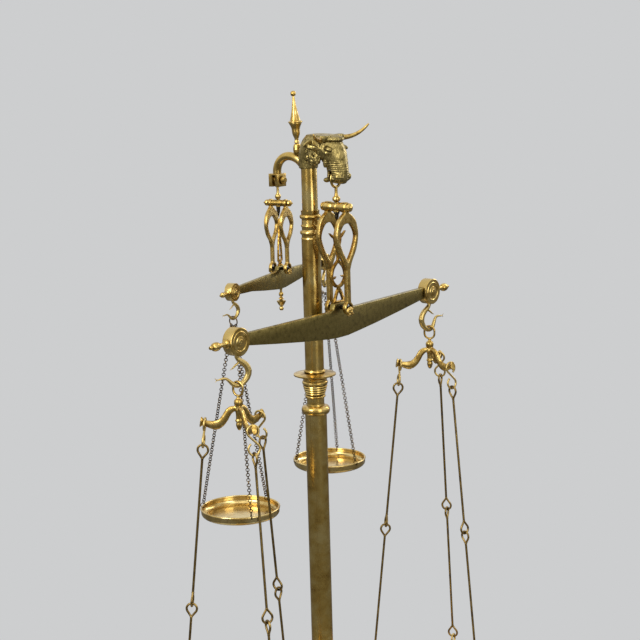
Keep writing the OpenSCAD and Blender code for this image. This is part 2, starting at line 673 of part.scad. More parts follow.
// Turned end finial with a collar, a neck, a bead and a tip, on a stud
module end_finial(k) rotate([0, 90, 0]) turned(concat(
    [[0, -4 * k], [finial_stud * k, -4 * k], [finial_stud * k, 0], [7 * k, 0]],
    bulge(0.3 * k, 5 * k, 7 * k, 9 * k, 6),
    [[5 * k, 6 * k], [4.2 * k, 12 * k], [4.6 * k, 20 * k]],
    bulge(22 * k, 39 * k, 4.6 * k, 8.5 * k),
    bulge(39.5 * k, 47 * k, 2.4 * k, 3.8 * k, 6),
    [[0, 47 * k]]
));

module front_end_finials() color(BRASS) for (s = [0, 1]) at_front(front_box_z) mirror([s, 0, 0])
    translate([beam_half + box_flat, 0, 0]) end_finial(1);

// Outline of a tapered strip along the rows [x, z, half width]
function strip(rows, n = 4) = let (p = open_curve(rows, n), m = len(p), sides = [for (s = [1, -1])
    [for (i = [0 : m - 1]) let (t = p[min(i + 1, m - 1)] - p[max(i - 1, 0)], l = norm([t[0], t[1]]))
        [p[i][0] - s * t[1] / l * p[i][2], p[i][1] + s * t[0] / l * p[i][2]]]])
    concat(sides[0], [for (i = [m - 1 : -1 : 0]) sides[1][i]]);

// Openwork pointer: arched legs, a lyre loop with inner spikes, and a leaf with side spikes.
// Its tip stays just under the index point, and its stem takes up a change of the shears.
pointer_gap = 3.2;
pointer_l = shears_l - saddle - bar_boss - rest_gap - index_l - pointer_gap;
lyre_top = 84;
leaf_z = pointer_l - 54;
module front_pointer() color(BRASS) at_front(front_edge_z + saddle) plate(pointer_t) {
    translate([-saddle_w, 0]) square([2 * saddle_w, 4]);
    for (s = [0, 1]) mirror([s, 0]) {
        polygon(strip([[14.8, 1.6, 3], [10, 13, 2.6], [5, 22, 2.8], [-1, 29, 3]]));
        polygon(strip([[-1, 31, 3], [12, 36, 3], [21.5, 50, 2.8], [18, 67, 2.6], [8, 78, 2.6],
            [-1, lyre_top, 2.8]]));
        polygon(strip([[21, 52, 2.2], [15, 50, 1.6], [9, 53, 0.5]]));
        polygon(strip([[7, leaf_z + 23, 2.6], [16, leaf_z + 28, 2], [25, leaf_z + 35, 0.5]]));
    }
    polygon(strip([[0, 26, 3.4], [0, 34, 3.4]]));
    polygon(strip([[0, lyre_top - 4, 3], [0, (lyre_top + leaf_z + 2) / 2, 2.4], [0, leaf_z + 6, 3]]));
    polygon(strip([[0, leaf_z, 3], [0, leaf_z + 10, 8], [0, leaf_z + 24, 11],
        [0, leaf_z + 39, 6.5], [0, pointer_l, 0.5]]));
}

// Curve of a hook below its stem, with a beak and a forked tail, in the XZ plane; rise lifts the tail
module hook_curve(rise) {
    limb([[0, -28, 3.9, 3.9], [2, -33, 4.6, 4.6], [9, -38.5, 5.4, 5.2], [18, -46, 6.2, 5.6],
        [23.6, -58, 6.6, 6], [20, -71, 6, 5.6], [10, -80.5, 5.2, 5.1], [0, -83.5, 5, 5],
        [-9, -80.5 + rise / 10, 4.5, 4.6], [-16 + rise / 9, -74 + rise * 0.7, 3.6, 3.8],
        [-23 + rise * 0.4, -68 + rise * 0.9, 2.8, 3], [-31 + rise * 0.4, -66.5 + rise, 2.3, 2.5],
        [-39 + rise * 0.4, -68 + rise, 1.7, 2]], 2, 10);
    for (tip = [[-48, -63], [-47, -72]]) limb([[-36 + rise * 0.4, -67.3 + rise, 1.5, 1.8],
        [-42 + rise * 0.4, -68 + rise, 1.3, 1.5], [tip[0] + rise * 0.4, tip[1] + rise, 0.4, 0.5]], 2, 6);
    limb([[6, -39, 2.4, 2.6], [-3, -44.5, 2.2, 2.4], [-9, -49.5, 1.6, 1.8], [-16, -53, 0.4, 0.5]], 2, 8);
}

// Hook about its end box's centre: two rings ride on the knife edge, a stem carries the curve
hook_seat = -78.5;
ring_bore = 7;
ring_y = 5.5;
ring_t = 3;
module hook(az, rise, flip) {
    ring_z = end_edge + edge_gap - ring_bore;
    for (s = [-1, 1]) translate([0, ring_y * s, 0]) plate(ring_t) difference() {
        union() {
            translate([0, ring_z]) circle(r = ring_bore + 3.5);
            translate([-4, -20]) square([8, 12]);
        }
        translate([0, ring_z]) circle(r = ring_bore);
    }
    translate([-4, -ring_y - ring_t / 2, -20]) cube([8, 2 * ring_y + ring_t, 8]);
    translate([0, 0, -31]) cylinder(r = 4.2, h = 12);
    rotate([0, 0, az]) mirror([flip, 0, 0]) hook_curve(rise);
}

left_hook_az = -22;
right_hook_az = -10;
right_rise = 9;
module front_left_hook() color(BRONZE) at_front(front_box_z) translate([-beam_half, 0, 0])
    hook(left_hook_az, 0, 0);
module front_right_hook() color(BRONZE) at_front(front_box_z) translate([beam_half, 0, 0])
    hook(right_hook_az, right_rise, 1);

// Spider: an eye in the hook, a bead, a hub with an acorn below, and three curved arms
eye_r = 11.25;
eye_stretch = 4.8;
eye_z = hook_seat + rest_gap - eye_r + eye_wire / 2;
arm_reach = 65;
arm_tip_z = -155;
module spider(turn) rotate([0, 0, turn]) {
    rotate([0, 0, 90]) {
        translate([0, 0, eye_z]) wire_arc(eye_r, eye_wire, 0, 180);
        translate([0, 0, eye_z - eye_stretch]) wire_arc(eye_r, eye_wire, 180, 180);
        for (s = [-1, 1]) wire_line([s * eye_r, 0, eye_z - eye_stretch], [s * eye_r, 0, eye_z], eye_wire);
    }
    turned(concat(
        [[0, -170], [2.6, -168.6]],
        open_curve([[4.6, -165], [6.2, -159], [5.4, -154]], 3),
        bulge(-153, -148, 5, 7.5, 6),
        [[5.6, -147], [5.6, -140], [6.6, -130]],
        bulge(-123, -109.5, 5.4, 8.5),
        [[3.6, -108], [3, -105], [3, -103], [0, -103]]
    ));
    for (k = [0 : 2]) rotate([0, 0, 120 * k]) limb([[3, -127, 5, 3.6], [11.3, -128.6, 5.8, 4],
        [19, -134, 6.2, 4.2], [25, -144, 6.3, 4.3], [33, -154, 6.4, 4.4], [43, -159, 6.5, 4.5],
        [54, -158.5, 6.4, 4.4], [arm_reach, arm_tip_z, 6.2, 4.3], [67.6, -154, 6.4, 4.4],
        [70.5, -153.2, 9, 5.4], [72.4, -152.8, 10.5, 6], [73.4, -152.6, 9.8, 5.6]], 2, 10);
}

// S-hook in the XZ plane about its middle: two open loops of wire joined by a straight tangent,
// with a slight swelling at each joint
s_mouth = -60;
swell = 1.06;
module s_hook(r, wire, half) {
    tilt = asin(r / half);
    run = sqrt(half ^ 2 - r ^ 2);
    bend = [-run * sin(tilt), 0, run * cos(tilt)];
    for (s = [0, 1]) rotate([0, 180 * s, 0]) {
        translate([0, 0, half]) wire_arc(r, wire, s_mouth, 180 + tilt - s_mouth);
        translate(bend) sphere(d = wire * swell, $fn = 24);
    }
    wire_line(-bend, bend, wire);
}

// Places along a leg, as distances down its axis from the arm's tip
s_loop_r = 11.4;
s_half = 16.5;
rod_eye_r = 10;
link_gap = 0.1;
loop_in = s_loop_r - s_wire / 2;
eye_in = rod_eye_r - rod_wire / 2;
s_top = 2.5;
rod1_top = s_top + 2 * s_half + loop_in + eye_in - link_gap;
rod1_low = rod1_top + rod_l;
rod2_top = rod1_low + 2 * eye_in - link_gap;
rod2_low = rod2_top + rod_l;
s_low = rod2_low + eye_in + loop_in - link_gap;
hole_drop = s_low + 2 * s_half + s_loop_r;

module at_pan_set(side) at_front(front_box_z) translate([side * beam_half, 0, 0]) children();
module legs(turn) for (k = [0 : 2]) rotate([0, 0, turn + 120 * k])
    translate([arm_reach, 0, arm_tip_z]) rotate([0, -leg_tilt, 0]) children();

module s_hooks(turn) legs(turn) {
    translate([0, 0, -s_top - s_half]) rotate([0, 0, 90]) s_hook(s_loop_r, s_wire, s_half);
    translate([0, 0, -s_low - s_half]) s_hook(s_loop_r, s_wire, s_half);
}

// Teardrop eye in the XZ plane: a loop of wire on two legs that meet the rod in a round joint
shank = 17;
module rod_eye() {
    open = acos(rod_eye_r / shank);
    wire_arc(rod_eye_r, rod_wire, open - 90, 360 - 2 * open);
    for (s = [-1, 1]) {
        bend = [s * rod_eye_r * sin(open), 0, -rod_eye_r * cos(open)];
        wire_line([0, 0, -shank], bend, rod_wire);
        translate(bend) sphere(d = rod_wire * swell, $fn = 24);
    }
    translate([0, 0, -shank]) sphere(d = link_d * 1.2, $fn = 24);
}

// Link rod from its upper eye's centre down: the upper eye faces sideways, the lower one outwards
module link_rod() {
    rod_eye();
    translate([0, 0, -rod_l]) rotate([0, 180, 90]) rod_eye();
    translate([0, 0, shank - rod_l]) cylinder(d = link_d, h = rod_l - 2 * shank, $fn = 24);
}

// Outline of a dished pan's skin: radius, bottom height, top height and corner size
function dish(r, low, top, corner, n = 8) = concat([[0, top], [0, low]],
    [for (i = [0 : n]) [r - corner * 1.5 * (1 - sin(90 * i / n)), low + corner * (1 - cos(90 * i / n))]],
    [[r, top]]);
module pan(r, t, low, top, corner, rim) rotate_extrude() {
    difference() {
        polygon(dish(r + t / 2, low, top, corner));
        polygon(dish(r - t / 2, low + t, top + 1, corner));
    }
    translate([r, top]) circle(r = rim, $fn = 24);
}

rim_up = 6.5;
rim_wire = 3;
pan_corner = 14;
pan_hole_r = arm_reach + hole_drop * sin(leg_tilt);
pan_hole_z = arm_tip_z - hole_drop * cos(leg_tilt);
module front_pan(turn) difference() {
    pan(pan_hole_r, pan_t, pan_hole_z - pan_depth, pan_hole_z + rim_up, pan_corner, rim_wire);
    for (k = [0 : 2]) rotate([0, 0, turn + 120 * k]) translate([pan_hole_r, 0, pan_hole_z])
        rotate([0, 90 - leg_tilt, 0]) cylinder(r = s_wire / 2 + 0.5, h = 12, center = true, $fn = 24);
}

module front_left_spider() color(BRASS) at_pan_set(-1) spider(left_turn);
module front_left_s_hooks() color(BRASS) at_pan_set(-1) s_hooks(left_turn);
module front_left_upper_rods() color(BRASS) at_pan_set(-1) legs(left_turn)
    translate([0, 0, -rod1_top]) link_rod();
module front_left_lower_rods() color(BRASS) at_pan_set(-1) legs(left_turn)
    translate([0, 0, -rod2_top]) link_rod();
module front_left_pan() color(BRASS) at_pan_set(-1) front_pan(left_turn);
module front_right_spider() color(BRASS) at_pan_set(1) spider(right_turn);
module front_right_s_hooks() color(BRASS) at_pan_set(1) s_hooks(right_turn);
module front_right_upper_rods() color(BRASS) at_pan_set(1) legs(right_turn)
    translate([0, 0, -rod1_top]) link_rod();
module front_right_lower_rods() color(BRASS) at_pan_set(1) legs(right_turn)
    translate([0, 0, -rod2_top]) link_rod();
module front_right_pan() color(BRASS) at_pan_set(1) front_pan(right_turn);

// Everything of the small balance is drawn about its hanger's axis, turned with the balance
module at_rear(z) translate([0, rear_reach, z]) rotate([0, 0, rear_turn]) children();

eye_plate_t = 5.6;
eye_plate_r = 9;
rear_stem_r = 2.5;
rear_boss = 7;
module rear_hanger() color(BRASS) {
    translate([0, rear_reach, rear_bar_z])
        stem_profile(rear_stem_r, rear_boss, rear_boss + rest_gap + stem_tail, 2.7, 6, rear_hanger_l - 8);
    translate([0, rear_reach, rear_pin_z]) difference() {
        along_y(eye_plate_r, eye_plate_t);
        along_y(rear_pin_r + run_fit, 20);
    }
}
rear_index_l = 21;
module rear_index_point() color(STEEL) at_rear(rear_bar_z) index_point(rear_stem_r, rear_boss,
    rear_index_l, 4.2);
module rear_shears_bar() color(BRASS) at_rear(rear_bar_z)
    shears_bar(rear_bar_d, rear_bar_l, rear_cheek_gap, rear_cheek_t, 5.5, rear_boss, rear_stem_r);

rear_limb_half = 3.8;
rear_boss_r = 12;
rear_window_r = 8;
rear_cheek_outer = [[3, -4], [5, -8.5], [13, -15], [22.5, -26], [rear_loop_w, -44], [20, -63],
    [9, -77], [rear_limb_half, -90]];
rear_cheek_hole = [[0, -27], [10, -30], [rear_loop_w - 6.5, -45], [12.5, -63], [3, -73], [0, -77]];
module rear_cheeks() color(BRASS) for (s = [-1, 1]) at_rear(rear_bar_z)
    translate([0, s * rear_cheek_gap / 2, 0])
        cheek(rear_shears_l, rear_cheek_t, 8, rear_bar_d / 2 - 1.5 + slip, rear_cheek_outer,
            rear_cheek_hole, 2 * rear_limb_half, rear_boss_r, rear_window_r, window_z);
module rear_bearings() color(STEEL) for (s = [-1, 1]) at_rear(rear_edge_z)
    translate([0, s * rear_cheek_gap / 2, 0]) bearing(rear_cheek_t, rear_window_r, window_z);

// The small balance's boxes, hooks and end knives have the large ones' form at this scale
small = 0.63;
rear_knife = 6;
module rear_knives(play) {
    at_rear(rear_edge_z) knife(rear_knife, rear_cheek_gap + rear_cheek_t + 2, 1, play);
    for (s = [-1, 1]) at_rear(rear_box_z + end_edge * small) translate([s * rear_half, 0, 0])
        knife(knife_size * small, 2 * rear_box_half - 0.6, -1, play);
}
module rear_knife_edges() color(STEEL) rear_knives(0);

rear_saddle = 9;
rear_saddle_w = 11;
rear_seat = rear_box_r - 1.8;
rear_flat = rear_box_r - 0.8;
module rear_beam() color(BRONZE) difference() {
    union() {
        at_rear(rear_edge_z) plate(rear_beam_t) let (half = beam_outline(rear_saddle, rear_saddle_w,
            rear_half - rear_seat, rear_end_drop, rear_end_h, rear_belly))
            polygon(concat(half, mirrored(half)));
        at_rear(rear_box_z)
            cube([2 * (rear_half + tang_tip * small), tang_t * small, 2 * tang_half * small], center = true);
    }
    rear_knives(slip);
    at_rear(rear_edge_z - rear_belly - 1) cylinder(r = pendant_stud + slip, h = 10);
}
module rear_end_boxes() color(BRASS) for (s = [0, 1]) at_rear(rear_box_z) mirror([s, 0, 0])
    translate([rear_half, 0, 0]) end_box(rear_box_r, rear_box_wall, rear_box_half, rear_seat, rear_flat,
        tang_t * small, tang_half * small, small);
module rear_box_covers() color(BRASS) for (x = [-1, 1]) for (s = [0, 1]) at_rear(rear_box_z)
    translate([x * rear_half, 0, 0]) mirror([0, s, 0]) translate([0, -rear_box_half, 0])
        box_cover(rear_box_r, cover_t * 0.8);
module rear_end_finials() color(BRASS) for (s = [0, 1]) at_rear(rear_box_z) mirror([s, 0, 0])
    translate([rear_half + rear_flat, 0, 0]) end_finial(small);

// Slender A-shaped pointer on a small turned foot
rear_pointer_gap = 3.7;
rear_pointer_l = rear_shears_l - rear_saddle - rear_boss - rest_gap - rear_index_l - rear_pointer_gap;
rear_leg_top = rear_pointer_l - 22;
module rear_pointer() color(BRASS) at_rear(rear_edge_z + rear_saddle) {
    turned([[0, 0], [5.5, 0], [5.5, 2], [3.4, 4], [4.2, 7], [3, 10], [0, 10]]);
    plate(3.4) {
        translate([-8.5, 9]) square([17, 3.4]);
        for (s = [0, 1]) mirror([s, 0])
            polygon(strip([[7.4, 11, 1.6], [5.2, rear_leg_top - 34, 1.5], [1.6, rear_leg_top - 8, 1.5],
                [0, rear_leg_top, 1.4]]));
        polygon(strip([[-5.6, 22, 1.3], [0, 20, 1.3], [5.6, 22, 1.3]]));
        polygon(strip([[0, rear_leg_top - 4, 2], [0, rear_leg_top + 8, 1.6], [0, rear_pointer_l, 0.4]]));
    }
}

pendant_stud = 2;
module rear_pendant() color(BRASS) at_rear(rear_edge_z - rear_belly) rotate([180, 0, 0]) turned(concat(
    [[0, -7], [pendant_stud, -7], [pendant_stud, 0], [3.6, 0], [2.4, 4], [2.4, 7]],
    bulge(8, 17, 2.4, 4.75, 6),
    [[3, 18.5]],
    bulge(19.5, 23, 3, 5.4, 4),
    [[4, 24.5], [9.25, 26], [9.25, 27.5], [6.6, 33], [3.4, 37]],
    bulge(37.5, pendant_l, 2, 4.5, 6)
));

rear_left_az = -14;
rear_right_az = 14;
module rear_left_hook() color(BRONZE) at_rear(rear_box_z) translate([-rear_half, 0, 0])
    scale(small) hook(rear_left_az, 0, 0);
module rear_right_hook() color(BRONZE) at_rear(rear_box_z) translate([rear_half, 0, 0])
    scale(small) hook(rear_right_az, 0, 1);

// Small pan set about its end box's centre: a ring in the hook carries three chains,
// and each chain ends in a small ring through the pan's side
top_ring_r = 10;
top_ring_wire = 2.4;
spread = 36;
end_ring_r = 5;
end_ring_wire = 1.6;
small_rim = 2;
small_rim_up = 3.6;
small_seat = hook_seat * small;
top_ring_z = small_seat + rest_gap - top_ring_r + top_ring_wire / 2;
small_hole_r = small_pan_r - small_rim;
small_hole_z = small_seat - chain_drop;
link_in = link_r - chain_wire / 2;
// The side chains meet the ring at a slant, which takes more of the link's hole
function link_top(k) = let (a = k == 0 ? 0 : spread)
    (top_ring_wire + chain_wire * sin(a)) / 2 / cos(a) + link_gap - link_in;
link_low = 2 * end_ring_r - end_ring_wire / 2 - link_gap / 2 + link_in;
// Top of chain k on the ring, in the plane across the hook
function chain_top(k) = let (a = k == 0 ? 0 : (k == 1 ? -spread : spread))
    [0, -top_ring_r * sin(a), top_ring_z - top_ring_r * cos(a)];
function chain_foot(k) = [small_hole_r * cos(120 * k), small_hole_r * sin(120 * k), small_hole_z];

// Strand of links on one axis: a swelling for each link, between the first link and the last
module strand(l) {
    n = ceil(l / (2 * link_in));
    pitch = l / n;
    turned(concat([[0, 0]], [for (i = [0 : n - 1]) each [[link_neck, pitch * i],
        [link_body, pitch * (i + 0.35)], [link_body, pitch * (i + 0.65)]]], [[link_neck, l], [0, l]]));
}
link_neck = 1.6;
link_body = link_r - 0.5;
module chain(k) {
    foot = chain_foot(k);
    axis = chain_top(k) - foot;
    l = norm(axis);
    high = l + link_top(k);
    translate(foot) rotate([0, 0, 120 * k + 180]) rotate([0, acos(axis[2] / l), 0]) {
        translate([0, 0, end_ring_r]) wire_arc(end_ring_r, end_ring_wire, 0, 360);
        translate([0, 0, link_low]) rotate([0, 0, 90]) wire_arc(link_r, chain_wire, 0, 360);
        translate([0, 0, link_low + link_r]) strand(high - link_low - 2 * link_r);
        translate([0, 0, high]) rotate([0, 0, -120 * k - 180]) wire_arc(link_r, chain_wire, 0, 360);
    }
}

module chains(az) rotate([0, 0, az]) {
    translate([0, 0, top_ring_z]) rotate([0, 0, 90]) wire_arc(top_ring_r, top_ring_wire, 0, 360);
    for (k = [0 : 2]) chain(k);
}

module small_pan(az) rotate([0, 0, az]) difference() {
    pan(small_hole_r, small_pan_t, small_hole_z - small_pan_depth + small_rim_up,
        small_hole_z + small_rim_up, 9, small_rim);
    for (k = [0 : 2]) rotate([0, 0, 120 * k]) translate([small_hole_r, 0, small_hole_z])
        rotate([0, 80, 0]) cylinder(r = end_ring_wire / 2 + 0.4, h = 8, center = true, $fn = 24);
}

module rear_left_chains() color(BRONZE) at_rear(rear_box_z) translate([-rear_half, 0, 0])
    chains(rear_left_az);
module rear_left_pan() color(BRASS) at_rear(rear_box_z) translate([-rear_half, 0, 0])
    small_pan(rear_left_az);
module rear_right_chains() color(BRONZE) at_rear(rear_box_z) translate([rear_half, 0, 0])
    chains(rear_right_az);
module rear_right_pan() color(BRASS) at_rear(rear_box_z) translate([rear_half, 0, 0])
    small_pan(rear_right_az);

base_plinth();
underside_felt();
column_foot();
foot_screws();
lower_column();
lower_collar();
column_capital();
upper_column();
upper_collar();
neck_tube();
tie_rod();
tie_nuts();
bull_head();
bull_horns();
mouth_pin();
rear_arm();
arm_socket();
rear_pivot_pin();
finial();
front_hanger();
front_index_point();
front_shears_bar();
front_cheeks();
front_bearings();
front_beam();
front_end_boxes();
front_box_covers();
front_end_finials();
front_knife_edges();
front_pointer();
front_left_hook();
front_right_hook();
front_left_spider();
front_left_s_hooks();
front_left_upper_rods();
front_left_lower_rods();
front_left_pan();
front_right_spider();
front_right_s_hooks();
front_right_upper_rods();
front_right_lower_rods();
front_right_pan();
rear_hanger();
rear_index_point();
rear_shears_bar();
rear_cheeks();
rear_bearings();
rear_beam();
rear_end_boxes();
rear_box_covers();
rear_end_finials();
rear_knife_edges();
rear_pointer();
rear_pendant();
rear_left_hook();
rear_right_hook();
rear_left_chains();
rear_left_pan();
rear_right_chains();
rear_right_pan();
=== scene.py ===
"""Looks of a shop counter scale: a brass pillar with a cast bull's head and two equal-arm balances.

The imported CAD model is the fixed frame, in metres. Turned, bent and flat pieces keep their CAD
meshes and get their finishes here. The castings are made again with their full form, and every
sub-assembly below is one class.
"""

import logging
import math
from collections.abc import Callable, Sequence
from dataclasses import dataclass, field
from enum import Enum
from typing import Any

import bpy
from mathutils import Euler, Matrix, Vector, noise

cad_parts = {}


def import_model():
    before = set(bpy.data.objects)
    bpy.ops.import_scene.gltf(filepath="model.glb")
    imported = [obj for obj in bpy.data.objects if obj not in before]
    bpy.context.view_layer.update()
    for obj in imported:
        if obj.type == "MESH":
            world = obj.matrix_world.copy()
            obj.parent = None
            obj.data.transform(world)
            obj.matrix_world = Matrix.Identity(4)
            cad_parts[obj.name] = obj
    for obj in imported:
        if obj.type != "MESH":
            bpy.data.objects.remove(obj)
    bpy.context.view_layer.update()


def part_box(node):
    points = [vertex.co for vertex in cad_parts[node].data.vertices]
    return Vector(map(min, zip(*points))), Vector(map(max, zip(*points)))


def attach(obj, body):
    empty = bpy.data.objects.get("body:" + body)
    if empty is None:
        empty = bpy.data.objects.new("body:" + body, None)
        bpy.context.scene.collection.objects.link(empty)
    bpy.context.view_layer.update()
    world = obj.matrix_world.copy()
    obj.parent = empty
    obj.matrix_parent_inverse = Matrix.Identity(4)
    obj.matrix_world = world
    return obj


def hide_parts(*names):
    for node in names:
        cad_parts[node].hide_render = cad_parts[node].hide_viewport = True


LOG = logging.getLogger("counter_scale")
MM = 0.001
Piece = bpy.types.Object
Tree = bpy.types.NodeTree
Socket = bpy.types.NodeSocket
Span = tuple[float, float]
Point = tuple[float, float, float]
Colour = tuple[float, float, float, float]
ORIGIN: Point = (0.0, 0.0, 0.0)
BALANCES = ("front", "rear")
SIDES = ("left", "right")


class Slot(Enum):
    """The record's material slots."""

    BRASS = "brass"
    AGED = "aged_brass"
    BRONZE = "bronze"
    STEEL = "steel"
    WOOD = "wood"
    BAIZE = "baize"


class Axis(Enum):
    """Axes that a primitive's own Z can be laid along, with the turn that does it."""

    X = (0.0, math.pi / 2, 0.0)
    Y = (math.pi / 2, 0.0, 0.0)
    Z = (0.0, 0.0, 0.0)


def unit(value: float) -> float:
    """Hold a value between 0 and 1."""
    return min(1.0, max(0.0, value))


def linear(code: str) -> Colour:
    """Turn an sRGB hex colour to a linear one.

    Args:
        code: six hex digits, with or without a leading hash.

    Returns:
        Linear red, green, blue and an alpha of 1.
    """
    digits = code.lstrip("#")
    parts = [int(digits[i : i + 2], 16) / 255 for i in (0, 2, 4)]
    red, green, blue = (c / 12.92 if c <= 0.04045 else ((c + 0.055) / 1.055) ** 2.4 for c in parts)
    return red, green, blue, 1.0


def add_node(
    tree: Tree, kind: str, inputs: dict[str | int, Any] | None = None, **settings: Any
) -> bpy.types.Node:
    """Add a node to a tree, with its settings, its values and its links.

    Args:
        tree: the tree to add to.
        kind: the node's type name.
        inputs: for each input's name or number, an output socket to link or a value to set.
        settings: attributes of the node itself.

    Returns:
        The new node.
    """
    node = tree.nodes.new(kind)
    for name, value in settings.items():
        setattr(node, name, value)
    for name, value in (inputs or {}).items():
        if isinstance(value, Socket):
            tree.links.new(value, node.inputs[name])
        else:
            node.inputs[name].default_value = value
    return node


def ramp(tree: Tree, factor: Socket, stops: Sequence[tuple[float, Any]]) -> Socket:
    """Map a value to a colour ramp.

    Args:
        tree: the tree to add to.
        factor: the value to map.
        stops: positions with a hex colour or a grey level each, in rising order.

    Returns:
        The ramp's colour output.
    """
    node = add_node(tree, "ShaderNodeValToRGB", {"Fac": factor})
    elements = node.color_ramp.elements
    while len(elements) < len(stops):
        elements.new(0.5)
    for element, (place, value) in zip(elements, stops):
        element.position = place
        element.color = linear(value) if isinstance(value, str) else (value, value, value, 1.0)
    return node.outputs["Color"]


@dataclass(frozen=True)
class Finish:
    """A finish with its maker's name. Subclasses add the nodes.

    Stops and spans are places on a pattern's scale of 0 to 1.
    """

    name: str
    slot: Slot

    def build(self) -> bpy.types.Material:
        """Make the material, or return the one made before.

        Returns:
            The material with this finish's name.
        """
        found = bpy.data.materials.get(self.name)
        if found:
            return found
        made = bpy.data.materials.new(self.name)
        made.use_nodes = True
        tree = made.node_tree
        tree.nodes.clear()
        output = add_node(tree, "ShaderNodeOutputMaterial")
        place = add_node(tree, "ShaderNodeTexCoord").outputs["Object"]
        shader = self.surface(tree, place)
        tree.links.new(shader, output.inputs["Surface"])
        return made

    def surface(self, tree: Tree, place: Socket) -> Socket:
        """Build the shader. Each subclass has its own.

        Args:
            tree: the material's tree.
            place: the object coordinates, in metres.

        Returns:
            The shader's output.
        """
        raise NotImplementedError


@dataclass(frozen=True)
class Metal(Finish):
    """Copper alloy or steel, turned or cast, with tarnish, handling marks, and dirt and painted
    shade in its hollows.

    The tarnish is in patches of about a centimetre, and a lacquerless shop scale shows them all
    over. The grain is the finest scratch or casting grit that still shows in the render. The
    tones are its tarnished, usual and rubbed colours.
    """

    tones: tuple[str, str, str] = ("#79602c", "#bb9a50", "#dcc27c")
    roughness: Span = (0.14, 0.32)
    patch_mm: float = 14.0
    grain_mm: float = 1.4
    grain_depth_mm: float = 0.04
    # Darkening of the hollows: dirt and painted shade from ambient occlusion
    hollow_grime_and_shade: float = 0.75
    stretch: Point = (1.0, 1.0, 1.0)
    tone_stops: Point = (0.3, 0.47, 0.68)
    wear_span: Span = (0.35, 0.7)
    # Occlusion at which that painted shade and dirt are darkest, and at which they end
    grime_and_shade_span: Span = (0.25, 0.85)

    def surface(self, tree: Tree, place: Socket) -> Socket:
        """Build a metal with patchy tarnish. See the class for what each part shows.

        Args:
            tree: the material's tree.
            place: the object coordinates, in metres.

        Returns:
            The shader's output.
        """
        patches = add_node(
            tree,
            "ShaderNodeTexNoise",
            {"Vector": place, "Scale": 1000 / self.patch_mm, "Detail": 6.0, "Roughness": 0.62},
        ).outputs["Fac"]
        stretched = add_node(
            tree, "ShaderNodeMapping", {"Vector": place, "Scale": self.stretch}
        ).outputs["Vector"]
        grain = add_node(
            tree,
            "ShaderNodeTexNoise",
            {"Vector": stretched, "Scale": 1000 / self.grain_mm, "Detail": 3.0, "Roughness": 0.7},
        ).outputs["Fac"]
        colour = ramp(tree, patches, list(zip(self.tone_stops, self.tones)))
        # Painted shade: an ambient occlusion pass darkens the colour in hollows and where other
        # parts come near. It stands for the dirt there and for the shade there
        hollows = add_node(
            tree, "ShaderNodeAmbientOcclusion", {"Distance": 6 * MM}, samples=6, inside=False
        ).outputs["AO"]
        grimed_and_shaded, unshaded = self.grime_and_shade_span
        grime_and_shade = ramp(tree, hollows, [(grimed_and_shaded, 1.0 - self.hollow_grime_and_shade), (unshaded, 1.0)])
        colour = add_node(
            tree,
            "ShaderNodeMix",
            {"Factor": 1.0, 6: colour, 7: grime_and_shade},
            data_type="RGBA",
            blend_type="MULTIPLY",
        ).outputs[2]
        low, high = self.roughness
        worn, rubbed = self.wear_span
        rough = add_node(
            tree,
            "ShaderNodeMapRange",
            {"Value": patches, "From Min": worn, "From Max": rubbed, "To Min": high, "To Max": low},
        ).outputs["Result"]
        bump = add_node(
            tree,
            "ShaderNodeBump",
            {"Height": grain, "Strength": 0.6, "Distance": self.grain_depth_mm * MM},
        ).outputs["Normal"]
        return add_node(
            tree,
            "ShaderNodeBsdfPrincipled",
            {"Base Color": colour, "Metallic": 1.0, "Roughness": rough, "Normal": bump},
        ).outputs["BSDF"]


@dataclass(frozen=True)
class Timber(Finish):
    """Mahogany, planed and French polished: red brown, with dark pores along the grain."""

    tones: tuple[str, str, str] = ("#33150b", "#572614", "#7a3d22")
    tone_stops: Point = (0.32, 0.5, 0.7)
    ring_mm: float = 9.0
    pore_mm: float = 1.2
    pore_shade: float = 0.45
    pore_span: Span = (0.34, 0.45)
    stretch: Point = (0.09, 1.0, 1.0)

    def surface(self, tree: Tree, place: Socket) -> Socket:
        """Build the wood, with its grain along X.

        Args:
            tree: the material's tree.
            place: the object coordinates, in metres.

        Returns:
            The shader's output.
        """
        along = add_node(
            tree, "ShaderNodeMapping", {"Vector": place, "Scale": self.stretch}
        ).outputs["Vector"]
        rings = add_node(
            tree,
            "ShaderNodeTexNoise",
            {"Vector": along, "Scale": 1000 / self.ring_mm, "Detail": 4.0, "Distortion": 0.8},
        ).outputs["Fac"]
        fine = {"Vector": along, "Scale": 1000 / self.pore_mm, "Detail": 2.0}
        pores = add_node(tree, "ShaderNodeTexNoise", fine).outputs["Fac"]
        figure = ramp(tree, rings, list(zip(self.tone_stops, self.tones)))
        deep, level = self.pore_span
        pits = ramp(tree, pores, [(deep, self.pore_shade), (level, 1.0)])
        colour = add_node(
            tree,
            "ShaderNodeMix",
            {"Factor": 1.0, 6: figure, 7: pits},
            data_type="RGBA",
            blend_type="MULTIPLY",
        ).outputs[2]
        bump = add_node(
            tree, "ShaderNodeBump", {"Height": pores, "Strength": 0.35, "Distance": 0.05 * MM}
        ).outputs["Normal"]
        return add_node(
            tree,
            "ShaderNodeBsdfPrincipled",
            {
                "Base Color": colour,
                "Roughness": 0.38,
                "IOR": 1.5,
                "Coat Weight": 0.5,
                "Coat Roughness": 0.12,
                "Normal": bump,
            },
        ).outputs["BSDF"]


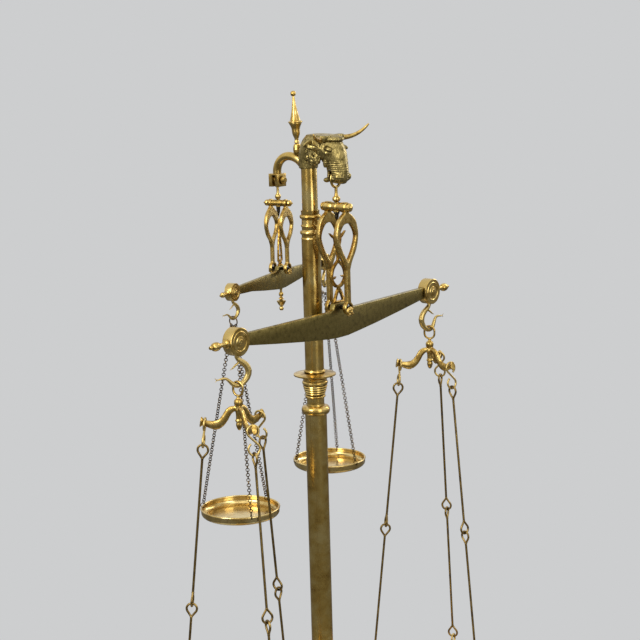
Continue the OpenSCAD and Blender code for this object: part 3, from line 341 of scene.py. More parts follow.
@dataclass(frozen=True)
class Cloth(Finish):
    """Green wool baize: dull, with a short nap that lightens at a glancing angle."""

    tones: tuple[str, str] = ("#1c3a25", "#2f5a3a")
    tone_stops: Span = (0.35, 0.65)
    nap_mm: float = 0.9

    def surface(self, tree: Tree, place: Socket) -> Socket:
        """Build the felted cloth.

        Args:
            tree: the material's tree.
            place: the object coordinates, in metres.

        Returns:
            The shader's output.
        """
        fine = {"Vector": place, "Scale": 1000 / self.nap_mm, "Detail": 3.0}
        nap = add_node(tree, "ShaderNodeTexNoise", fine).outputs["Fac"]
        colour = ramp(tree, nap, list(zip(self.tone_stops, self.tones)))
        bump = add_node(
            tree, "ShaderNodeBump", {"Height": nap, "Strength": 0.8, "Distance": 0.25 * MM}
        ).outputs["Normal"]
        return add_node(
            tree,
            "ShaderNodeBsdfPrincipled",
            {"Base Color": colour, "Roughness": 0.95, "Sheen Weight": 0.4, "Normal": bump},
        ).outputs["BSDF"]


# Turned brass, polished by hand and left without lacquer: yellow, with brown patches
TURNED = Metal("turned_brass", Slot.BRASS)
# Drawn tube, polished lengthwise: its scratches run along Z
DRAWN = Metal(
    "drawn_brass_tube", Slot.BRASS, tones=("#8a6c33", "#b99a52", "#d9c07c"), roughness=(0.15, 0.28),
    patch_mm=34.0, grain_mm=1.1, stretch=(1.0, 1.0, 0.05),
)
# Sand-cast brass, filed and buffed: bright on its crowns and brown in its hollows, where dirt and
# painted shade darken it
CAST = Metal(
    "cast_brass", Slot.BRASS, tones=("#6a5126", "#b1904a", "#d8bd76"), roughness=(0.18, 0.38),
    patch_mm=9.0, grain_mm=1.8, grain_depth_mm=0.12, hollow_grime_and_shade=0.85,
)
# Brass that is handled less and has gone olive brown: the end boxes and the hooks
AGED = Metal(
    "aged_brass", Slot.AGED, tones=("#54462a", "#857443", "#b8a264"), roughness=(0.24, 0.42),
    patch_mm=11.0, grain_mm=1.3, grain_depth_mm=0.06,
)
# Cast bronze with a dark olive patina, rubbed bright where hands reach it
PATINA = Metal(
    "patinated_bronze", Slot.BRONZE, tones=("#463b20", "#8a7a48", "#b9a468"),
    roughness=(0.26, 0.46), patch_mm=7.0, grain_mm=1.2, grain_depth_mm=0.15, hollow_grime_and_shade=0.9,
)
# Hardened steel, ground and gone grey brown
STEEL = Metal(
    "ground_steel", Slot.STEEL, tones=("#35322e", "#5d5a55", "#8d8a84"), roughness=(0.26, 0.45),
    patch_mm=8.0, grain_mm=0.9,
)
MAHOGANY = Timber("polished_mahogany", Slot.WOOD)
BAIZE = Cloth("green_baize", Slot.BAIZE)
# Cast brass with its face hammered all over
HAMMERED = Metal(
    "hammered_brass", Slot.BRASS, tones=("#4e3814", "#9c7630", "#d2ab55"), roughness=(0.2, 0.4),
    patch_mm=5.0, grain_mm=3.2, grain_depth_mm=0.9, hollow_grime_and_shade=0.85,
)
# Steel left black from the forge and oiled
DARK_STEEL = Metal(
    "blackened_steel", Slot.STEEL, tones=("#1d1a15", "#38332b", "#5a5449"), roughness=(0.3, 0.5),
    patch_mm=7.0, grain_mm=0.9,
)
# Cast beam brass, filed flat and gone mottled olive between polishes
MOTTLED = Metal(
    "mottled_beam_brass", Slot.AGED, tones=("#5a4f2c", "#867641", "#a99659"),
    roughness=(0.18, 0.42), patch_mm=9.0, grain_mm=2.2, grain_depth_mm=0.12,
)
# Wire rods, brown where the polishing cloth does not reach
BROWNED = Metal(
    "browned_brass_rod", Slot.AGED, tones=("#4a3b22", "#7b653a", "#a68c52"), roughness=(0.24, 0.42),
    patch_mm=16.0, grain_mm=0.9,
)
# Sheet brass spun to a pan and planished: the palest and smoothest of the brasses
PLANISHED = Metal(
    "planished_pan_brass", Slot.BRASS, tones=("#a3874a", "#cbb071", "#e2cd92"),
    roughness=(0.12, 0.24), patch_mm=38.0, grain_mm=2.6, grain_depth_mm=0.06,
)
# Chain wire, brown with handling and dust
DARK_LINKS = Metal(
    "browned_chain_wire", Slot.AGED, tones=("#261c0d", "#4a381b", "#7a6030"), roughness=(0.3, 0.5),
    patch_mm=9.0, grain_mm=0.8,
)


class Bench:
    """Modelling helpers: each one works on the selected object, as by hand."""

    # Distance in metres within which a copied node's points are merged
    WELD: float = 0.00002
    # Edges flatter than the first are dissolved, and edges sharper than the second are rounded
    FLAT_DEGREES: float = 0.6
    CORNER_DEGREES: float = 38.0

    @staticmethod
    def clear() -> None:
        """Leave object mode with nothing selected."""
        if bpy.context.object and bpy.context.object.mode != "OBJECT":
            bpy.ops.object.mode_set(mode="OBJECT")
        bpy.ops.object.select_all(action="DESELECT")

    @staticmethod
    def take(*pieces: Piece) -> None:
        """Select pieces alone.

        Args:
            pieces: the pieces. The first becomes the active one.
        """
        Bench.clear()
        for piece in pieces:
            piece.select_set(True)
        bpy.context.view_layer.objects.active = pieces[0]

    @staticmethod
    def edit() -> None:
        """Enter edit mode with the whole mesh selected."""
        bpy.ops.object.mode_set(mode="EDIT")
        bpy.ops.mesh.select_all(action="SELECT")

    @staticmethod
    def leave() -> None:
        """Turn every face outwards and leave edit mode."""
        bpy.ops.mesh.select_all(action="SELECT")
        bpy.ops.mesh.normals_make_consistent(inside=False)
        bpy.ops.object.mode_set(mode="OBJECT")

    @staticmethod
    def modify(piece: Piece, kind: str, **settings: Any) -> None:
        """Add a modifier to a piece and apply it.

        Args:
            piece: the piece to change.
            kind: the modifier's type.
            settings: the modifier's attributes.
        """
        Bench.take(piece)
        modifier = piece.modifiers.new(kind.lower(), kind)
        for name, value in settings.items():
            setattr(modifier, name, value)
        bpy.ops.object.modifier_apply(modifier=modifier.name)

    @staticmethod
    def bake_place(piece: Piece) -> None:
        """Move a piece's place, turn and scale into its mesh."""
        Bench.take(piece)
        bpy.ops.object.transform_apply(location=True, rotation=True, scale=True)

    @staticmethod
    def join(pieces: Sequence[Piece]) -> Piece:
        """Join pieces into the first of them.

        Args:
            pieces: the pieces, whose meshes become one.

        Returns:
            The joined piece.
        """
        Bench.take(*pieces)
        if len(pieces) > 1:
            bpy.ops.object.join()
        return pieces[0]

    @staticmethod
    def copy_of(node: str) -> Piece:
        """Copy a CAD node's mesh, with its loose triangles merged.

        Args:
            node: the CAD node.

        Returns:
            The copy, at the origin.
        """
        made = bpy.data.objects.new(node, bpy.data.objects[node].data.copy())
        bpy.context.scene.collection.objects.link(made)
        made.data.materials.clear()
        Bench.take(made)
        Bench.edit()
        bpy.ops.mesh.customdata_custom_splitnormals_clear()
        bpy.ops.mesh.remove_doubles(threshold=Bench.WELD)
        bpy.ops.mesh.dissolve_limited(angle_limit=math.radians(Bench.FLAT_DEGREES))
        bpy.ops.object.mode_set(mode="OBJECT")
        return made

    @staticmethod
    def smooth(piece: Piece, angle: float = 40.0) -> None:
        """Shade a piece smooth, with edges sharper than the angle, in degrees, left crisp."""
        Bench.take(piece)
        bpy.ops.object.shade_smooth_by_angle(angle=math.radians(angle))

    @staticmethod
    def softened(node: str, edge_mm: float, segments: int = 2) -> Piece:
        """Copy a CAD node with its sharp edges rounded, as a casting's are.

        Args:
            node: the CAD node.
            edge_mm: the rounding's width in millimetres.
            segments: the rounding's steps.

        Returns:
            The rounded copy.
        """
        made = Bench.copy_of(node)
        Bench.modify(
            made,
            "BEVEL",
            width=edge_mm * MM,
            segments=segments,
            limit_method="ANGLE",
            angle_limit=math.radians(Bench.CORNER_DEGREES),
            use_clamp_overlap=True,
        )
        Bench.smooth(made)
        return made

    @staticmethod
    def ring(
        centre: Point, radius: float, wire: float, axis: Axis, steps: tuple[int, int]
    ) -> Piece:
        """Add a round ring. Its sizes are in millimetres.

        Args:
            centre: its centre.
            radius: the middle radius.
            wire: the wire's radius.
            axis: the direction of its own axis.
            steps: steps round the ring and round the wire.

        Returns:
            The ring, with its place in its mesh.
        """
        Bench.clear()
        bpy.ops.mesh.primitive_torus_add(
            location=[c * MM for c in centre],
            rotation=axis.value,
            major_radius=radius * MM,
            minor_radius=wire * MM,
            major_segments=steps[0],
            minor_segments=steps[1],
        )
        made = bpy.context.object
        Bench.bake_place(made)
        return made

    @staticmethod
    def laid(pattern: Piece, at: Vector, turn: Matrix) -> Piece:
        """Copy a pattern with a mesh of its own and lay it at a place.

        Args:
            pattern: the piece to copy, made about the origin.
            at: the copy's place, in millimetres.
            turn: the copy's turn.

        Returns:
            The copy, with its place in its mesh.
        """
        made = bpy.data.objects.new(pattern.name, pattern.data.copy())
        bpy.context.scene.collection.objects.link(made)
        made.data.transform(Matrix.Translation(at * MM) @ turn)
        return made

    @staticmethod
    def ball(centre: Point, size: Point, turn: Point = ORIGIN) -> Piece:
        """Add an egg of three half sizes in millimetres.

        Args:
            centre: its centre, in millimetres.
            size: half sizes along its own X, Y and Z, in millimetres.
            turn: Euler angles in degrees.

        Returns:
            The egg, with its place in its mesh.
        """
        Bench.clear()
        bpy.ops.mesh.primitive_uv_sphere_add(
            segments=28,
            ring_count=18,
            radius=1.0,
            location=[c * MM for c in centre],
            rotation=[math.radians(t) for t in turn],
        )
        made = bpy.context.object
        made.scale = [s * MM for s in size]
        Bench.bake_place(made)
        return made

    @staticmethod
    def wire(points: Sequence[Point], radii: Sequence[float], sides: int) -> Piece:
        """Bend a round wire through points and make it a closed mesh.

        Args:
            points: the points, in metres.
            radii: the wire's radius at each point, in metres.
            sides: the curve's bevel resolution.

        Returns:
            The wire as a mesh.
        """
        Bench.clear()
        bpy.ops.curve.primitive_nurbs_path_add()
        path = bpy.context.object
        line = path.data
        line.splines.clear()
        spline = line.splines.new("NURBS")
        spline.points.add(len(points) - 1)
        spline.order_u = min(4, len(points))
        spline.use_endpoint_u = True
        spline.resolution_u = 6
        widest = max(radii)
        for knot, place, radius in zip(spline.points, points, radii):
            knot.co = (*place, 1.0)
            knot.radius = radius / widest
        line.bevel_depth = widest
        line.bevel_resolution = sides
        line.use_fill_caps = True
        Bench.take(path)
        bpy.ops.object.convert(target="MESH")
        made = bpy.context.object
        Bench.bake_place(made)
        Bench.edit()
        bpy.ops.mesh.remove_doubles(threshold=1e-6)
        Bench.leave()
        return made

    @staticmethod
    def turned(rows: Sequence[Span], axis: Axis) -> Piece:
        """Turn a piece on the lathe: a disc extruded and sized row by row in edit mode.

        Args:
            rows: height and radius of each row in millimetres, from its low end.
            axis: the direction of the lathe's axis.

        Returns:
            The piece about the origin, closed at both ends.
        """
        Bench.clear()
        low, radius = rows[0]
        bpy.ops.mesh.primitive_circle_add(vertices=48, radius=radius * MM, fill_type="NGON")
        made = bpy.context.object
        Bench.edit()
        bpy.ops.transform.translate(value=(0.0, 0.0, low * MM))
        here = Vector((0.0, 0.0, low * MM))
        for height, wide in rows[1:]:
            bpy.ops.mesh.extrude_region_move()
            step = (height - low) * MM
            bpy.ops.transform.translate(value=(0.0, 0.0, step))
            here.z += step
            share = wide / radius
            bpy.ops.transform.resize(value=(share, share, 1.0), center_override=here)
            low, radius = height, wide
        Bench.leave()
        made.rotation_euler = axis.value
        Bench.bake_place(made)
        return made

    @staticmethod
    def skinned(node: str, skin_mm: float, passes: int) -> Piece:
        """Copy a CAD node and give it one even skin with its edges worn round.

        Args:
            node: the CAD node.
            skin_mm: the skin's mesh size in millimetres.
            passes: how many times the skin is smoothed.

        Returns:
            The skinned copy.
        """
        made = Bench.copy_of(node)
        Bench.modify(made, "REMESH", mode="VOXEL", voxel_size=skin_mm * MM)
        Bench.modify(made, "SMOOTH", factor=0.5, iterations=passes)
        Bench.smooth(made, 60)
        return made

    @staticmethod
    def displace(piece: Piece, shape: Callable[[Vector, Vector], float]) -> None:
        """Push each point along its normal.

        Args:
            piece: the piece.
            shape: gives the push in metres from the point and its normal.
        """
        mesh = piece.data
        moves = [shape(v.co.copy(), v.normal.copy()) for v in mesh.vertices]
        normals = [v.normal.copy() for v in mesh.vertices]
        for vertex, normal, push in zip(mesh.vertices, normals, moves):
            vertex.co += normal * push
        mesh.update()


@dataclass
class SubAssembly:
    """Part of the scale that rides on one or more CAD bodies."""

    made: list[str] = field(default_factory=list, init=False)

    def dress(self, finish: Finish, *nodes: str) -> None:
        """Give carried-over CAD nodes a finish.

        Args:
            finish: the finish.
            nodes: the nodes' names.
        """
        for name in nodes:
            node = bpy.data.objects[name]
            node.data.materials.clear()
            node.data.materials.append(finish.build())
            self.made.append(name)
            LOG.info("dressed %s in %s", name, finish.name)

    def seat(self, piece: Piece, name: str, body: str, finish: Finish, *replaces: str) -> None:
        """Finish a new piece: its name, finish, body and the CAD nodes that it stands for.

        Args:
            piece: the piece, with its place in its mesh.
            name: its name.
            body: the CAD body that it rides on.
            finish: its finish.
            replaces: CAD nodes that it stands for.
        """
        piece.name = name
        piece.data.name = name
        piece.data.materials.clear()
        piece.data.materials.append(finish.build())
        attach(piece, body)
        if replaces:
            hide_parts(*replaces)
        self.made.append(name)
        LOG.info("made %s, %d faces, on %s", name, len(piece.data.polygons), body)


@dataclass
class Stand(SubAssembly):
    """Wooden plinth, turned brass pillar, swan-neck arm and finial. Sizes are in millimetres."""

    plinth_edge_mm: float = 4.0
    socket_edge_mm: float = 0.9

    def build(self) -> None:
        """Dress the turned pieces and round the edges of the plinth and the socket block."""
        plinth = Bench.softened("base_plinth", self.plinth_edge_mm, 4)
        self.seat(plinth, "moulded_plinth", "stand", MAHOGANY, "base_plinth")
        socket = Bench.softened("arm_socket", self.socket_edge_mm)
        self.seat(socket, "arm_socket_block", "stand", CAST, "arm_socket")
        self.dress(BAIZE, "underside_felt")
        self.dress(STEEL, "foot_screws", "tie_rod", "tie_nuts", "mouth_pin")
        self.dress(DRAWN, "lower_column", "upper_column", "neck_tube", "rear_arm")
        self.dress(TURNED, "column_foot", "lower_collar", "column_capital", "upper_collar")
        self.dress(TURNED, "rear_pivot_pin", "finial")


@dataclass
class BullHead(SubAssembly):
    """Cast head of a bull with curled hair, and its two horns. Sizes are in millimetres.

    The head grows from the CAD casting, which keeps its bore and its mouth slot, and is carved by
    displacing its skin: curls on the cheeks and the neck, folds on the muzzle, locks on the brow.
    """

    skin: float = 1.05
    # Y, Z and radius of each curl, with the sense in which it winds
    curls: tuple[tuple[float, float, float, int], ...] = (
        (-21.0, 1319.5, 7.2, 1), (-34.5, 1322.5, 6.4, -1), (-45.5, 1318.0, 5.6, 1),
        (-28.0, 1307.5, 6.4, -1), (-40.5, 1307.5, 5.4, 1), (-13.0, 1329.5, 5.6, -1),
        (-24.5, 1332.0, 5.4, 1), (-33.5, 1298.0, 4.6, -1), (-19.5, 1300.5, 5.0, 1),
        (-9.5, 1311.0, 4.8, -1), (-47.0, 1328.5, 4.4, -1),
    )
    # Heights of the relief, and the distance between a curl's turns
    curl_height: float = 1.3
    curl_pitch: float = 3.4
    lock_height: float = 0.55
    fold_height: float = 0.3
    hair_height: float = 0.26
    # Depth and radius of a nostril, and height and radius of its rim
    nostril: Point = (12.0, -90.5, 1281.5)
    nostril_hole: Span = (3.2, 3.8)
    nostril_rim: Span = (0.5, 4.6)
    # Half width, and Y and Z limits, of the skin round the bore, which stays plain
    bore_skin: Point = (13.0, -14.0, 1330.0)
    # Y and Z where the brow's locks begin, and the muzzle's folds
    brow_edge: Span = (-62.0, 1336.0)
    muzzle_edge: Span = (-58.0, 1314.0)
    poll: float = 1360.0
    # The part of the casting's height above the poll that stays
    poll_share: float = 0.22
    # Centre, half sizes and turn of each form: brow, lower lid, cheek fold, nose pad, jaw, neck
    # muscle and horn base, on the side of +X
    paired: tuple[tuple[Point, Point, Point], ...] = (
        ((24, -68, 1335.5), (7.0, 11, 5.0), (16, 0, 20)),
        ((24, -66, 1323.5), (4.5, 8, 2.4), (-26, 0, 10)),
        ((20.5, -60, 1312), (5.0, 6.5, 15), (14, 0, 0)),
        ((12.5, -84, 1279), (9.5, 9.5, 9), (10, 0, 0)),
        ((9, -52, 1272.5), (8.5, 6.0, 5), (0, 0, 0)),
        ((21, -30, 1317), (8, 17, 17), (0, 0, 0)),
        ((31, -55, 1353.5), (4.5, 9, 8.5), (0, 0, 0)),
    )
    # The poll and the ridge of the nose
    middle: tuple[tuple[Point, Point, Point], ...] = (
        ((0, -50, 1352), (28, 34, 9), (0, 0, 0)),
        ((0, -82, 1318), (12, 7.5, 27), (-6, 0, 0)),
    )
    ear_place: Point = (34.0, -34, 1337.5)
    # Roll, dip and sweep of the ear at +X, in degrees
    ear_turn: Point = (-58, -10, 16)
    ear_size: Point = (17.5, 17.5, 9)
    ear_wall: float = 2.6
    # How narrow the ear's disc is, and how much of that it loses at its tip
    ear_leaf: Span = (0.36, 0.55)
    # The mouth's slot, and the bore for the neck with its radius and length
    slot_place: Point = (0, -67, 1271.5)
    slot_size: Point = (90, 8.4, 45)
    bore_place: Point = (0, 0, 1257)
    bore_size: Span = (16.2, 140)
    eye: Point = (26.0, -66.0, 1327.5)
    eye_size: Point = (5.4, 6.6, 5.6)
    lid: Span = (6.3, 1.2)
    horn_root: Point = (30.0, -55.0, 1353.5)
    # Reach, rise and radius along a horn
    horn_rows: tuple[Point, ...] = (
        (-7.0, 0.0, 7.0), (4.0, -0.8, 6.0), (15.0, -0.8, 5.2), (27.0, 0.6, 4.5), (39.0, 3.8, 4.0),
        (50.0, 8.8, 3.5), (59.0, 14.6, 3.0), (66.0, 20.2, 2.4), (69.0, 22.6, 1.4),
    )
    # Side, forward turn in degrees, and shares of the length and the rise: one horn is worn lower
    horn_sides: tuple[tuple[int, float, float, float], ...] = (
        (1, 22.0, 1.0, 1.0),
        (-1, 24.0, 0.78, 0.6),
    )
    # Height of the growth rings, their turns in radians a millimetre, and where they end
    horn_rings: Point = (0.22, 2.4, 34.0)

    def carve(self, at: Vector, normal: Vector) -> float:
        """Give the relief of the casting's skin at a point.

        Args:
            at: the point, in metres.
            normal: its outward normal.

        Returns:
            The push along the normal, in metres.
        """
        x, y, z = (c / MM for c in at)
        half, back, top = self.bore_skin
        if abs(x) < half and y > back and z < top:
            return 0.0
        # How much the skin faces sideways and forwards
        side = unit((abs(normal.x) - 0.25) / 0.35)
        front = unit((-normal.y - 0.1) / 0.4)
        push = 0.0
        for cy, cz, reach, turn in self.curls:
            away = math.hypot(y - cy, z - cz)
            if away < reach:
                angle = math.atan2(z - cz, (y - cy) * turn)
                wave = math.cos(away * 2 * math.pi / self.curl_pitch - angle)
                push += side * self.curl_height * wave * (1 - (away / reach) ** 4)
        if y < self.brow_edge[0] and z > self.brow_edge[1]:
            fade = 1 - min(1.0, (self.poll - z) / 22)
            lock = math.sin(x * 0.95 + 1.4 * noise.noise(at * 60)) * fade
            push += front * self.lock_height * lock
        if y < self.muzzle_edge[0] and z < self.muzzle_edge[1]:
            fold = math.sin(z * 1.5 + 3.4 * noise.noise(at * 55))
            fade = unit((self.muzzle_edge[1] - z) / 8)
            push += self.fold_height * fold * fade * (0.35 + 0.65 * side)
        push += self.hair_height * noise.fractal(
            Vector((at.x * 420, at.y * 420, at.z * 150)), 0.8, 2.1, 3
        )
        nx, ny, nz = self.nostril
        hole = math.sqrt((abs(x) - nx) ** 2 + ((y - ny) * 0.8) ** 2 + ((z - nz) * 1.3) ** 2)
        if hole < 6:
            depth, radius = self.nostril_hole
            rim, rim_radius = self.nostril_rim
            push += -depth * max(0.0, 1 - hole / radius)
            push += rim * math.exp(-((hole - rim_radius) ** 2))
        return push * MM

    def features(self) -> list[Piece]:
        """Make the forms that are added to the skull before it is skinned.

        Returns:
            The forms of both sides and the middle.
        """
        forms: list[Piece] = []
        for s in (-1, 1):
            for (x, y, z), size, (lean, tip, turn) in self.paired:
                forms.append(Bench.ball((x * s, y, z), size, (lean, tip, turn * s)))
        return forms + [Bench.ball(*form) for form in self.middle]

    def ear(self, side: int) -> Piece:
        """Make one leaf-shaped ear: a disc bulged in edit mode, cupped and thickened.

        Args:
            side: -1 or 1, the side in X.

        Returns:
            The ear.
        """
        Bench.clear()
        bpy.ops.mesh.primitive_circle_add(vertices=32, radius=1.0, fill_type="NOTHING")
        ear = bpy.context.object
        Bench.edit()
        for _ in range(4):
            bpy.ops.mesh.extrude_region_move()
            bpy.ops.transform.resize(value=(0.72, 0.72, 1.0))
            bpy.ops.transform.translate(value=(0.0, 0.0, -0.12))
        bpy.ops.mesh.edge_face_add()
        Bench.leave()
        narrow, lost = self.ear_leaf
        for vertex in ear.data.vertices:
            vertex.co.y *= narrow * (1 - lost * max(0.0, vertex.co.x) ** 2)
        ear.scale = [c * MM for c in self.ear_size]
        roll, dip, sweep = self.ear_turn
        turn = (roll * side, dip, 90 - sweep * side)
        ear.rotation_euler = Euler([math.radians(a) for a in turn])
        x, y, z = self.ear_place
        ear.location = (x * side * MM, y * MM, z * MM)
        Bench.bake_place(ear)
        Bench.modify(ear, "SOLIDIFY", thickness=self.ear_wall * MM, offset=0.0)
        Bench.modify(ear, "SUBSURF", levels=1, render_levels=1)
        return ear

    def head(self) -> Piece:
        """Skin the skull and its added forms as one casting and carve it.

        Returns:
            The head.
        """
        skull = Bench.copy_of("bull_head")
        whole = Bench.join([skull, *self.features(), self.ear(-1), self.ear(1)])
        Bench.modify(whole, "REMESH", mode="VOXEL", voxel_size=self.skin * MM)
        Bench.modify(whole, "SMOOTH", factor=0.5, iterations=4)
        for vertex in whole.data.vertices:
            high = vertex.co.z / MM - self.poll
            if high > 0:
                vertex.co.z = (self.poll + self.poll_share * high) * MM
        self.cut_mouth(whole)
        Bench.displace(whole, self.carve)
        Bench.smooth(whole, 80)
        return whole

    def cut_mouth(self, head: Piece) -> None:
        """Cut the mouth's slot and the neck's bore clear again, as the added forms reach in.

        Args:
            head: the skinned head.
        """
        Bench.clear()
        bpy.ops.mesh.primitive_cube_add(size=1.0, location=[c * MM for c in self.slot_place])
        slot = bpy.context.object
        slot.scale = [c * MM for c in self.slot_size]
        Bench.bake_place(slot)
        Bench.clear()
        radius, depth = self.bore_size
        bpy.ops.mesh.primitive_cylinder_add(
            vertices=64,
            radius=radius * MM,
            depth=depth * MM,
            location=[c * MM for c in self.bore_place],
        )
        bore = bpy.context.object
        Bench.bake_place(bore)
        for tool in (slot, bore):
            Bench.modify(head, "BOOLEAN", operation="DIFFERENCE", object=tool, solver="EXACT")
            bpy.data.objects.remove(tool)

    def eyes(self) -> Piece:
        """Make both eyes with their lids.

        Returns:
            The eyes as one piece.
        """
        forms: list[Piece] = []
        x, y, z = self.eye
        for s in (-1, 1):
            forms.append(Bench.ball((x * s, y, z), self.eye_size))
            forms.append(Bench.ring((x * s, y, z), *self.lid, Axis.X, (32, 10)))
        return Bench.join(forms)

    def horns(self) -> Piece:
        """Make both horns: tapered sweeps with growth rings near the root.

        Returns:
            The horns as one piece.
        """
        pair: list[Piece] = []
        rx, ry, rz = self.horn_root
        height, pitch, end = self.horn_rings
        for s, forward, length, share in self.horn_sides:
            turn = math.radians(forward)
            points = [
                (
                    s * (rx + out * length * math.cos(turn)) * MM,
                    (ry - out * length * math.sin(turn)) * MM,
                    (rz + up * share) * MM,
                )
                for out, up, _ in self.horn_rows
            ]
            horn = Bench.wire(points, [r * MM for _, _, r in self.horn_rows], 8)
            start = Vector(points[0])

            def rings(at: Vector, _: Vector, root: Vector = start) -> float:
                """Growth rings that fade towards the tip."""
                far = (at - root).length / MM
                return height * MM * math.sin(far * pitch) * max(0.0, 1 - far / end)

            Bench.modify(horn, "SUBSURF", levels=1, render_levels=1)
            Bench.displace(horn, rings)
            pair.append(horn)
        made = Bench.join(pair)
        Bench.smooth(made, 60)
        return made

    def build(self) -> None:
        """Build the head, the eyes and the horns."""
        self.seat(self.head(), "cast_bull_head", "stand", PATINA, "bull_head")
        self.seat(self.eyes(), "bull_eyes", "stand", PATINA)
        self.seat(self.horns(), "bull_horn_pair", "stand", CAST, "bull_horns")


@dataclass
class Shears(SubAssembly):
    """Hanger, cross bar and the two openwork cheeks that carry a beam. Sizes are in millimetres.

    The cheeks are cast bars of nearly round section, so they are skinned here. A domed boss with
    four rivets covers the bearing in each cheek's foot.
    """

    balance: str
    cheek_skin: float = 0.95
    boss_r: float = 10.0
    boss_depth: float = 4.2
    rivet_r: float = 2.3
    rivet_out: float = 3.1
    # Radius of the ring of rivets, as a share of the boss's
    rivet_ring: float = 0.62
    knob_r: float = 2.6
    # Shares of the large balance's sizes that the small one's bosses and skin have
    small_share: float = 0.62
    small_skin: float = 0.75
    # Place along the bar and radius, from one end to the middle
    barrel: tuple[Span, ...] = (
        (-37.6, 0.6), (-36.6, 1.9), (-35.0, 2.6), (-34.0, 2.6), (-33.2, 5.0), (-31.8, 7.0),
        (-30.2, 8.3), (-29.4, 7.8), (-29.0, 9.0), (-26.0, 10.2), (-21.0, 10.6), (-15.0, 10.2),
        (-9.5, 9.2), (-5.6, 7.8), (-5.0, 8.6), (-3.4, 9.4),
    )

    def build(self) -> None:
        """Skin the cheeks, cover the bar with its barrels and put on the bosses."""
        small = self.balance == "rear"
        body = f"{self.balance}_shears"
        node = f"{self.balance}_cheeks"
        skin = self.cheek_skin * (self.small_skin if small else 1.0)
        cheeks = Bench.skinned(node, skin, 9)
        self.seat(cheeks, f"{self.balance}_cast_cheeks", body, CAST, node)
        if not small:
            self.seat(self.bar(), "front_turned_bar", body, TURNED)
        bosses = self.bosses(self.small_share if small else 1.0)
        self.seat(bosses, f"{self.balance}_riveted_bosses", body, CAST)
        self.dress(TURNED, f"{self.balance}_hanger", f"{self.balance}_shears_bar")
        self.dress(STEEL, f"{self.balance}_bearings")
        self.dress(DARK_STEEL, f"{self.balance}_index_point")

    def bar(self) -> Piece:
        """Turn the bar's barrels: two swollen halves with a groove, and pointed ends.

        Returns:
            The barrels, about the bar's own place.
        """
        low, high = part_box("front_shears_bar")
        centre = [(a + b) / 2 for a, b in zip(low, high)]
        rows = list(self.barrel) + [(-z, r) for z, r in reversed(self.barrel)]
        made = Bench.turned(rows, Axis.Y)
        made.data.transform(Matrix.Translation(centre))
        Bench.smooth(made, 50)
        return made

    def bosses(self, share: float) -> Piece:
        """Make a domed boss with four rivets on the outer face of each cheek's foot.

        Args:
            share: its size, as a share of the large balance's.

        Returns:
            Both bosses as one piece.
        """
        low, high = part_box(f"{self.balance}_cheeks")
        feet_low, feet_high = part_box(f"{self.balance}_bearings")
        x = (feet_low[0] + feet_high[0]) / 2 / MM
        z = (feet_low[2] + feet_high[2]) / 2 / MM
        reach = self.boss_r * share
        depth = self.boss_depth * share
        rivet = self.rivet_r * share
        knob = self.knob_r * share
        forms: list[Piece] = []
        for y, out in ((low[1] / MM, -1.0), (high[1] / MM, 1.0)):
            forms.append(Bench.ball((x, y, z), (reach, depth, reach)))
            for quarter in range(4):
                angle = math.radians(45 + 90 * quarter)
                at = (
                    x + self.rivet_ring * reach * math.cos(angle),
                    y + out * self.rivet_out * share,
                    z + self.rivet_ring * reach * math.sin(angle),
                )
                forms.append(Bench.ball(at, (rivet, rivet, rivet)))
            forms.append(Bench.ball((x, y + out * depth, z), (knob, knob, knob)))
        made = Bench.join(forms)
        Bench.smooth(made, 60)
        return made


@dataclass
class Beam(SubAssembly):
    """Beam with its end boxes, covers, finials, knife edges and pointer."""

    balance: str
    beam_edge_mm: float = 1.3
    box_edge_mm: float = 0.9
    pointer_edge_mm: float = 0.8
    small_share: float = 0.6

    def build(self) -> None:
        """Round the cast pieces' edges and dress the turned and ground ones."""
        small = self.balance == "rear"
        share = self.small_share if small else 1.0
        cast = {
            "beam": (self.beam_edge_mm, MOTTLED),
            "end_boxes": (self.box_edge_mm, AGED),
            "pointer": (self.pointer_edge_mm, HAMMERED),
        }
        for part, (edge, finish) in cast.items():
            node = f"{self.balance}_{part}"
            piece = Bench.softened(node, edge * share, 3)
            name = f"{self.balance}_cast_{part}"
            self.seat(piece, name, f"{self.balance}_beam", finish, node)
        self.dress(TURNED, f"{self.balance}_box_covers", f"{self.balance}_end_finials")
        self.dress(STEEL, f"{self.balance}_knife_edges")
        if small:
            self.dress(TURNED, "rear_pendant")


@dataclass
class HookSet(SubAssembly):
    """Forged hook under one end of a beam, with its edges swollen round by the hammer."""

    balance: str
    side: str
    skin_mm: float = 0.8
    small_share: float = 0.6

    def build(self) -> None:
        """Skin the hook as one forging."""
        place = f"{self.balance}_{self.side}"
        skin = self.skin_mm * (self.small_share if self.balance == "rear" else 1.0)
        hook = Bench.skinned(f"{place}_hook", skin, 4)
        self.seat(hook, f"{place}_forged_hook", f"{place}_hook", AGED, f"{place}_hook")


